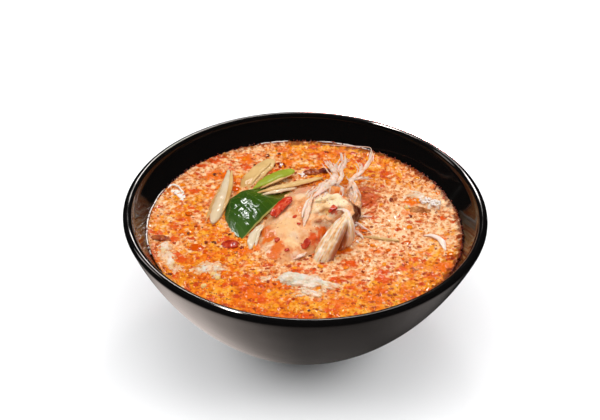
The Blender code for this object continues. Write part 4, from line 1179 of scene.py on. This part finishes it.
for number, lumps in enumerate((
        (((-1.0, -43.4, 61.9), (12.5, 6.0, 3.5), -4), ((-6, -42.6, 62.2), (7.5, 5.0, 3.6), 0),
         ((11.0, -46.0, 61.9), (9.5, 3.4, 2.4), -16), ((-17.0, -42.0, 62.0), (6.0, 3.4, 1.7), 6)),
        (((4, -52.6, 62.2), (6.6, 2.6, 1.9), -20), ((-2.5, -53.4, 62.0), (5.0, 2.4, 1.7), 10),
         ((9.0, -50.5, 62.2), (3.6, 1.9, 1.7), 30), ((1.0, -49.4, 62.6), (9.0, 0.7, 1.1), -4)),
        (((-44.8, -34.0, 61.9), (7.4, 5.8, 2.1), 20), ((-50.0, -36.5, 62.0), (5.2, 4.2, 1.8), 0),
         ((-41.8, -40.8, 62.2), (2.8, 2.4, 1.9), 20), ((-40.0, -35.0, 62.1), (4.2, 3.6, 1.7), 40)),
        (((-66, -28, 61.9), (10.0, 5.2, 2.1), 113), ((-68.0, -20.0, 62.2), (5.8, 4.2, 1.7), 100),
         ((-61.0, -36.0, 62.1), (5.6, 4.0, 1.7), 120)),
        (((57.0, 29.5, 62.0), (6.4, 4.8, 2.3), -15), ((52.4, 28.2, 62.2), (4.0, 3.2, 1.7), 0)),
        (((66, 21.0, 62.2), (5.4, 4.4, 2.8), 70), ((62.0, 24.5, 62.4), (3.8, 3.2, 1.9), 20)))):
    parts = [lump("part_%d" % k, *shape, mushroom, Uneven=0.9, Detail=0.0007, Detail_Size=0.0014)
             for k, shape in enumerate(lumps)]
    dressed(joined("mushroom_float_%d" % (number + 1), parts), "mushroom_flesh",
            "mushroom_%d" % (number + 1))
parts = [
    lump("soaked_cap", (58.2, 16.8, 62.2), (6.2, 3.0, 2.4), -8, soaked_and_crease_shade, Uneven=0.7, Detail=0.0006),
    lump("cap_edge", (52.5, 19.0, 62.6), (1.6, 1.2, 1.6), 0, mushroom, Uneven=0.7, Detail=0.0006),
]
dressed(joined("mushroom_float_7", parts), "mushroom_flesh", "mushroom_7")


# ---------------------------------------------------------------------------------------------
# The chilli: slices of fresh red chilli with wet, shining skin, and pieces of dried chilli that
# have soaked until their skin is leathery and dark.

def skin_finish(name, dark, middle, light, clump, roughness, coat):
    """Wet vegetable skin: three tones in clumps of a size in mm, under a coat of broth."""
    made, tree, shader = finish(
        name, Roughness=roughness, IOR=1.45, Coat_Weight=coat, Coat_Roughness=0.06)
    spot = node(tree, "ShaderNodeTexCoord").outputs["Object"]
    cloud = node(tree, "ShaderNodeTexNoise", {
        "Vector": spot, "Scale": 1 / (clump * MM), "Detail": 3.0, "Roughness": 0.6})
    painted(shader, node(tree, "ShaderNodeValToRGB", [cloud], stops=(
        (0.34, dark), (0.48, middle), (0.64, light))), cloud)
    return made


fresh_chilli = skin_finish("fresh_red_chilli", "#a81c08", "#cc3316", "#dc5a34", 2.2, 0.2, 0.7)
deep_chilli = skin_finish("deep_red_chilli", "#8e1606", "#b2280a", "#c8481e", 2.2, 0.25, 0.5)
faded_chilli = skin_finish("faded_dried_chilli", "#722008", "#963c14", "#b8642c", 2.0, 0.28, 0.5)
soaked_chilli = skin_finish("soaked_dried_chilli", "#3a0f08", "#6a1c0c", "#96381c", 2.0, 0.28, 0.6)
slices = [
    strip("slice_skin", ((-16.6, -1.6, 70.6, 2.3, 1.1), (-12.8, 3.4, 73.0, 2.7, 1.3),
                         (-7.0, 8.8, 75.2, 2.1, 1.0)),
          fresh_chilli, Blunt=5.0, Uneven=0.0014, Lump_Size=0.003),
    strip("slice_rim", ((-15.0, -3.0, 70.8, 0.7, 0.7), (-11.0, 2.2, 73.2, 0.9, 0.7),
                        (-6.4, 6.6, 75.0, 0.6, 0.6)),
          fresh_chilli, Uneven=0.001),
]
dressed(joined("fresh_chilli_slice", slices), "red_chilli", "chilli_slice")
chilli = strip("fresh_chilli_piece", ((-41.0, -17.0, 63.2, 2.4, 0.7), (-36.5, -16.2, 63.7, 3.4, 0.8),
                                      (-31.6, -15.8, 63.2, 2.3, 0.7)),
               deep_chilli, Uneven=0.001, Lump_Size=0.003)
dressed(chilli, "red_chilli", "chilli_piece")
chips = []
for name, (x, y), turn, reach, wide in (("chip_deep_red", (0.5, -19.2), 65, 3.1, 2.3),
                                        ("chip_small", (-13.4, -17.8), 80, 1.7, 1.5),
                                        ("chip_orange", (13.6, -1.6), 20, 2.3, 2.1),
                                        ("chip_seam", (-5.2, -4.3), 40, 1.3, 0.9),
                                        ("chip_side", (-3.1, -9.4), 10, 1.0, 0.8),
                                        ("chip_front", (-8.6, -24.2), 35, 1.3, 1.0)):
    way = Vector((math.cos(math.radians(turn)), math.sin(math.radians(turn))))
    rows = [(*ground(x + way.x * reach * k, y + way.y * reach * k, 0.25), wide * (1 - 0.35 * k * k),
             0.3) for k in (-1, 0, 1)]
    red = deep_chilli if name in ("chip_deep_red", "chip_small") else fresh_chilli
    chips.append(strip(name, rows, red, Steps=36, Sides=16, Uneven=0.0009, Lump_Size=0.002, Blunt=4.0))
dressed(joined("chilli_chips", chips), "red_chilli")
chilli = strip("dark_chilli_skin", ((-76.6, -12.6, 63.8, 1.0, 0.5), (-71.8, -12.4, 64.0, 2.2, 0.6),
                                    (-65.6, -13.8, 63.4, 1.4, 0.5)),
               faded_chilli, Uneven=0.0014, Lump_Size=0.003)
dressed(chilli, "dried_chilli", "chilli_skin")
dried = [
    strip("faded_half", ((-2.0, 48.0, 63.3, 1.6, 0.6), (3.2, 48.8, 63.8, 2.5, 0.9),
                         (8.6, 49.8, 63.5, 1.6, 0.7)), faded_chilli,
          Uneven=0.0022, Lump_Size=0.003),
    strip("dark_half", ((6.0, 49.2, 63.6, 1.4, 0.7), (9.8, 50.2, 64.0, 2.1, 0.9),
                        (13.4, 51.0, 63.4, 1.2, 0.6)), soaked_chilli,
          Uneven=0.0018, Lump_Size=0.003),
]
dressed(joined("dark_chilli_piece", dried), "dried_chilli", "chilli_dried")


# ---------------------------------------------------------------------------------------------
# The tomato and the onion: a wedge of tomato cooked until it slumps, half under the soup with its
# loose skin in folds, and white slivers of onion that curl at the edge.

tomato_flesh = skin_finish("cooked_tomato_flesh", "#b03c12", "#d25a26", "#e07c48", 3.2, 0.25, 0.5)
wedge = [
    strip("wedge_flesh", ((28.5, 16, 61.8, 3.6, 1.8), (32.5, 23, 62.2, 5.6, 2.4),
                          (36.5, 33, 61.8, 4.6, 1.8)), tomato_flesh,
          Uneven=0.007, Lump_Size=0.004),
    strip("wedge_skin_upper", ((26.0, 30.5, 62.8, 0.8, 0.6), (31.0, 34.0, 63.6, 1.8, 0.8),
                               (39.4, 32.0, 63.2, 0.9, 0.6)),
          tomato_flesh, Uneven=0.0026, Lump_Size=0.004),
    strip("wedge_skin_middle", ((29.0, 27.0, 63.4, 1.0, 0.5), (34.0, 27.6, 64.2, 1.7, 0.7),
                                (40.4, 26.6, 63.2, 0.8, 0.5)),
          tomato_flesh, Uneven=0.0026, Lump_Size=0.004),
    strip("wedge_skin_lower", ((27.0, 17.5, 63.4, 0.7, 0.6), (31.6, 20.4, 64.4, 1.1, 0.8),
                               (36.6, 24.5, 63.6, 0.6, 0.6)),
          tomato_flesh, Uneven=0.0022, Lump_Size=0.004),
    strip("wedge_skin_foot", ((29.6, 11.6, 63.4, 0.5, 0.4), (34.0, 13.6, 63.9, 0.8, 0.6),
                              (36.4, 17.6, 63.6, 0.4, 0.4)),
          tomato_flesh, Uneven=0.0018, Lump_Size=0.004),
]
dressed(joined("cooked_tomato_wedge", wedge), "cooked_tomato", "tomato_wedge")

onion_flesh, tree, shader = finish("boiled_onion", Roughness=0.18, IOR=1.4, Coat_Weight=0.6,
                                   Coat_Roughness=0.06, Subsurface_Weight=0.3, Subsurface_Scale=0.002)
fibre = node(tree, "ShaderNodeAttribute", attribute_name="fibre").outputs["Vector"]
streak = node(tree, "ShaderNodeTexNoise", {
    "Vector": node(tree, "ShaderNodeVectorMath:MULTIPLY", [fibre, (1, 1, 0.1)]), "Scale": 1 / (0.7 * MM)})
painted(shader, node(tree, "ShaderNodeValToRGB", [streak], stops=(
    (0.32, "#eabf9c"), (0.45, "#f5dccc"), (0.62, "#fbf3ee"))))
onion = strip("white_onion_arc", ((59.1, -5.0, 63.4, 0.8, 0.6), (63.8, -6.2, 64.0, 1.2, 0.8),
                                  (67.4, -9.8, 64.1, 1.5, 0.9), (69.2, -17.0, 63.4, 1.1, 0.8)),
              onion_flesh, Uneven=0.001, Lump_Size=0.004)
dressed(onion, "white_onion", "onion_arc")
sliver = [
    strip("sliver_edge", ((-72.0, 29.0, 63.6, 0.4, 0.4), (-70.2, 33.0, 64.4, 0.5, 0.5),
                          (-66.0, 31.4, 64.0, 0.5, 0.4),
                          (-62.8, 26.4, 63.4, 0.4, 0.3)), onion_flesh, Uneven=0.0016, Lump_Size=0.003),
    strip("sliver_skin", ((-70.0, 28.0, 62.9, 1.2, 0.5), (-67.2, 28.6, 63.2, 2.4, 0.5),
                          (-64.4, 25.0, 63.1, 2.0, 0.5),
                          (-63.4, 20.0, 62.8, 1.2, 0.5)), onion_flesh, Uneven=0.0026, Lump_Size=0.003),
]
dressed(joined("white_onion_sliver", sliver), "white_onion", "onion_sliver")


# ---------------------------------------------------------------------------------------------
# What floats loose on the broth: drops of orange oil, flakes and seeds of chilli, and curds of
# milk. Each lies flat in the surface at its own size and turn, and none under a garnish.

GARNISH = [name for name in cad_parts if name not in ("bowl", "soup")]
strewn_tree, sizes, outlet = geometry_tree("strewn_on_broth", Per_Square_Metre=20000.0, Seed=0,
                                           Radius=SOUP_RADIUS - 1.5 * MM, Smallest=0.001,
                                           Largest=0.003, Flatness=0.3, Sunk=0.0, Ragged=0.2)
tree = strewn_tree
disc = node(tree, "GeometryNodeMeshCircle", {"Vertices": 64, "Radius": sizes["Radius"]}, fill_type="NGON")
dots = node(tree, "GeometryNodeDistributePointsOnFaces",
            {"Mesh": disc, "Density": sizes["Per_Square_Metre"], "Seed": sizes["Seed"]}).outputs["Points"]
here = node(tree, "GeometryNodeInputPosition")


def ray(target, start_height, way):
    """Cast a ray from each dot, up or down, at some other piece."""
    start = node(tree, "ShaderNodeVectorMath:ADD", [here, (0, 0, start_height)])
    feeds = {"Target Geometry": target, "Source Position": start, "Ray Direction": (0, 0, way),
             "Ray Length": 0.2}
    return node(tree, "GeometryNodeRaycast", feeds).outputs


def geometry_of(*names):
    """The meshes of other objects, as they stand."""
    joint = node(tree, "GeometryNodeJoinGeometry")
    for name in names:
        other = node(tree, "GeometryNodeObjectInfo", transform_space="ORIGINAL")
        other.inputs["Object"].default_value = bpy.data.objects[name]
        tree.links.new(other.outputs["Geometry"], joint.inputs[0])
    return joint.outputs[0]


down = ray(geometry_of("broth_surface"), 0.1, -1)
covered = ray(geometry_of(*GARNISH), SOUP_LEVEL, 1)["Is Hit"]
clear = node(tree, "GeometryNodeDeleteGeometry", {"Geometry": dots, "Selection": covered}, domain="POINT")


def chance(low, high, shift, kind="FLOAT"):
    """A random value for each dot, from a seed of its own."""
    made = node(tree, "FunctionNodeRandomValue", {
        "Seed": node(tree, "ShaderNodeMath:ADD", [sizes["Seed"], shift])}, data_type=kind)
    values = [socket for socket in made.inputs if socket.name in ("Min", "Max") and socket.enabled]
    for socket, value in zip(values, (low, high)):
        feed(socket, value)
    return [socket for socket in made.outputs if socket.enabled][0]


toned = node(tree, "GeometryNodeStoreNamedAttribute", {
    "Geometry": clear, "Name": "tone", "Value": chance(0.0, 1.0, 1)}, data_type="FLOAT")
lowered = node(tree, "ShaderNodeCombineXYZ", {
    "Z": node(tree, "ShaderNodeMath:MULTIPLY", [sizes["Sunk"], -1.0])})
laid = node(tree, "GeometryNodeSetPosition", {
    "Geometry": toned,
    "Position": node(tree, "ShaderNodeVectorMath:ADD", [down["Hit Position"], lowered])})
# Small ones are far more common than large ones
even = node(tree, "ShaderNodeMath:POWER", [chance(0.0, 1.0, 2), 2.2])
size = node(tree, "ShaderNodeMath:MULTIPLY_ADD", [
    even, node(tree, "ShaderNodeMath:SUBTRACT", [sizes["Largest"], sizes["Smallest"]]),
    sizes["Smallest"]])
scale = node(tree, "ShaderNodeCombineXYZ", {
    "X": size, "Y": node(tree, "ShaderNodeMath:MULTIPLY", [size, chance(0.55, 1.0, 3)]),
    "Z": node(tree, "ShaderNodeMath:MULTIPLY", [size, sizes["Flatness"]])})
turned_about = node(tree, "ShaderNodeCombineXYZ", {
    "X": chance(-0.12, 0.12, 4), "Y": chance(-0.12, 0.12, 5), "Z": chance(0.0, 6.28, 6)})
many = node(tree, "GeometryNodeInstanceOnPoints", {
    "Points": laid, "Instance": sizes["Geometry"], "Rotation": turned_about, "Scale": scale})
many = node(tree, "GeometryNodeRealizeInstances", {"Geometry": many})
rough = jitter(
    here, node(tree, "ShaderNodeMath:DIVIDE", [1.0, sizes["Smallest"]]), 1.0,
    node(tree, "ShaderNodeMath:MULTIPLY", [sizes["Ragged"], sizes["Smallest"]]))
many = node(tree, "GeometryNodeSetPosition", {"Geometry": many, "Offset": rough})
end_tree(tree, many, outlet)


def seed_shape(name, rings, sides):
    """A ball one unit across, of a few dozen faces, for a tree to strew."""
    ball = bmesh.new()
    bmesh.ops.create_uvsphere(ball, u_segments=sides, v_segments=rings, radius=0.5)
    data = bpy.data.meshes.new(name)
    ball.to_mesh(data)
    ball.free()
    return data


def toned_finish(name, stops, roughness, coat, clear_share=0.0):
    """Each loose bit has one tone of its own between the given colours."""
    made, tree, shader = finish(name, Roughness=roughness, IOR=1.4, Coat_Weight=coat, Coat_Roughness=0.05,
                                Transmission_Weight=clear_share)
    tone = node(tree, "ShaderNodeAttribute", attribute_name="tone").outputs["Fac"]
    spot = node(tree, "ShaderNodeTexCoord").outputs["Object"]
    mottled = node(tree, "ShaderNodeMath:MULTIPLY_ADD", [
        node(tree, "ShaderNodeMath:SUBTRACT", [
            node(tree, "ShaderNodeTexNoise", {"Vector": spot, "Scale": 1 / (0.8 * MM)}), 0.5]), 0.5,
        tone])
    painted(shader, node(tree, "ShaderNodeValToRGB", [mottled], stops=stops))
    return made


oil = toned_finish("orange_chilli_oil", ((0.0, "#d04c04"), (0.35, "#e06806"), (0.7, "#ea800e"),
                                         (1.0, "#f09c22")), 0.08, 0.6)
flake = toned_finish("chilli_flake_skin", ((0.0, "#521a08"), (0.3, "#8e2c0a"), (0.65, "#b8400c"),
                                           (1.0, "#d05c18")), 0.25, 0.4)
curd_milk = toned_finish("milk_curd", ((0.0, "#e0904c"), (0.4, "#e6a468"), (0.8, "#edba8a"),
                                       (1.0, "#f0c8a0")), 0.55, 0.0)
speck = toned_finish("herb_and_pepper", ((0.0, "#5e2810"), (0.4, "#80380e"), (0.8, "#94501a"),
                                         (1.0, "#a86428")), 0.4, 0.1)
drop_shape = seed_shape("drop_shape", 8, 16)
bit_shape = seed_shape("bit_shape", 5, 8)
dot_shape = seed_shape("dot_shape", 4, 6)
for name, shape, finished, slot, values in (
        ("oil_drops", drop_shape, oil, "creamy_broth", dict(
            Per_Square_Metre=26000.0, Seed=3, Smallest=0.7 * MM, Largest=4.2 * MM, Flatness=0.16,
            Sunk=0.02 * MM, Ragged=0.5)),
        ("chilli_flakes", bit_shape, flake, "dried_chilli", dict(
            Per_Square_Metre=20000.0, Seed=5, Smallest=0.6 * MM, Largest=3.0 * MM, Flatness=0.25, Sunk=0.0,
            Ragged=1.0)),
        ("milk_curds", bit_shape, curd_milk, "creamy_broth", dict(
            Per_Square_Metre=40000.0, Seed=8, Smallest=0.7 * MM, Largest=2.4 * MM, Flatness=0.35,
            Sunk=0.1 * MM, Ragged=1.2)),
        ("dark_specks", dot_shape, speck, "dried_chilli", dict(
            Per_Square_Metre=20000.0, Seed=12, Smallest=0.35 * MM, Largest=1.0 * MM, Flatness=0.5, Sunk=0.0,
            Ragged=0.6))):
    loose = grown(name, strewn_tree, finished, shape, **values)
    dressed(loose, slot)


def beads(name, spots, finished):
    """Small balls in one piece: rows of x, y, z, radius and how flat, in mm."""
    points, faces = [], []
    for x, y, z, radius, flat in spots:
        faces += [[len(points) + corner for corner in face.vertices] for face in drop_shape.polygons]
        points += [Vector((x, y, z)) * MM + Vector((v.co.x, v.co.y, v.co.z * flat)) * (2 * radius * MM)
                   for v in drop_shape.vertices]
    mesh = bpy.data.meshes.new(name)
    mesh.from_pydata(points, [], faces)
    return piece(name, mesh, finished)


# Pale foam for the bubbles, also used for the white waterline lines, which are a painted highlight
foam_and_highlight = finish("broth_foam", Base_Color=tint("#fbf0e8"), Roughness=0.1, IOR=1.4, Coat_Weight=0.8,
              Coat_Roughness=0.03)[0]
draw = random.Random(21)
bubbles = []
for (x, y, z), spread, count in (((-2.2, 46.4, 63.4), 2.8, 16), ((61.6, 23.6, 64.8), 3.4, 22),
                                 ((66.4, 20.4, 65.6), 3.2, 30), ((25.6, -11.6, 63.4), 0.9, 6),
                                 ((25.2, 2.4, 63.6), 1.2, 7), ((-13.8, 55.2, 63.8), 1.2, 6)):
    for number in range(count):
        turn, out = draw.uniform(0, 2 * math.pi), spread * math.sqrt(draw.random())
        bubbles.append((x + out * math.cos(turn), y + 0.8 * out * math.sin(turn),
                        z + draw.uniform(-0.2, 0.4), draw.uniform(0.25, 0.75), 0.8))
dressed(beads("foam_bubbles", bubbles, foam_and_highlight), "creamy_broth")

red_oil = finish("dark_red_oil", Base_Color=tint("#8e2408"), Roughness=0.08, IOR=1.45,
                 Coat_Weight=0.8)[0]
discs = (((-53.0, -19.0, 63.3), (3.3, 3.0, 0.45), oil), ((-36.8, 32.0, 63.3), (2.6, 2.4, 0.6), oil),
         ((-14.0, 55.4, 63.2), (3.4, 2.8, 0.6), red_oil), ((-48.2, -22.4, 63.3), (1.7, 1.6, 0.4), oil))
drops = [lump("disc_%d" % k, *shape, 0, made, Uneven=0.25, Detail=0.0002)
         for k, (*shape, made) in enumerate(discs)]
dressed(joined("large_oil_drops", drops), "creamy_broth")
yellow_curd = finish("yellow_curd", Base_Color=tint("#ecc67c"), Roughness=0.3, IOR=1.4,
                     Coat_Weight=0.4)[0]
curds = (((-42.9, -40.2, 63.4), (1.6, 1.3, 1.0)), ((-40.9, -42.7, 63.4), (1.3, 1.2, 1.0)),
         ((-47.1, -48.7, 63.2), (1.7, 1.3, 0.9)), ((51.9, 18.9, 63.4), (1.4, 1.1, 1.0)),
         ((39.8, -9.4, 63.3), (1.2, 1.0, 0.8)))
curds = [lump("curd_%d" % k, *shape, 30 * k, yellow_curd, Uneven=0.8, Detail=0.0004)
         for k, shape in enumerate(curds)]
dressed(joined("yellow_curds", curds), "creamy_broth")


def on_wall(turn, height, inset):
    """A point on the bowl's inner wall in mm, at an angle in degrees, a little inside it."""
    reach = wall_reach(height * MM) / MM - inset
    return reach * math.cos(math.radians(turn)), reach * math.sin(math.radians(turn)), height


# Where the soup has swayed it left dregs of chilli on the wall; the thin white lines along the waterline
# are a painted highlight on the meniscus
dregs = []
for number in range(420):
    turn = draw.uniform(-70, 200)
    lift = 0.9 * draw.random() ** 1.6
    dregs.append((*on_wall(turn, 63.8 + lift, 0.25), draw.uniform(0.2, 0.5), 0.8))
dressed(beads("waterline_dregs", dregs, bpy.data.materials["soaked_dried_chilli"]), "dried_chilli")
# White lines on the wall at the waterline: a painted highlight where the meniscus mirrors the light
highlight_lines = []
for number, (first, last, height) in enumerate(((158, 200, 64.4), (97, 110, 64.2), (64, 86, 64.2))):
    rows = [(*on_wall(first + (last - first) * k / 8, height + 0.1 * math.sin(2.3 * k), 0.25), 0.34, 0.34)
            for k in range(9)]
    highlight_lines.append(strip(
        "line_%d" % number, rows, foam_and_highlight, Steps=120, Sides=8, Uneven=0.0003, Lump_Size=0.002))
dressed(joined("waterline_fat", highlight_lines), "creamy_broth")
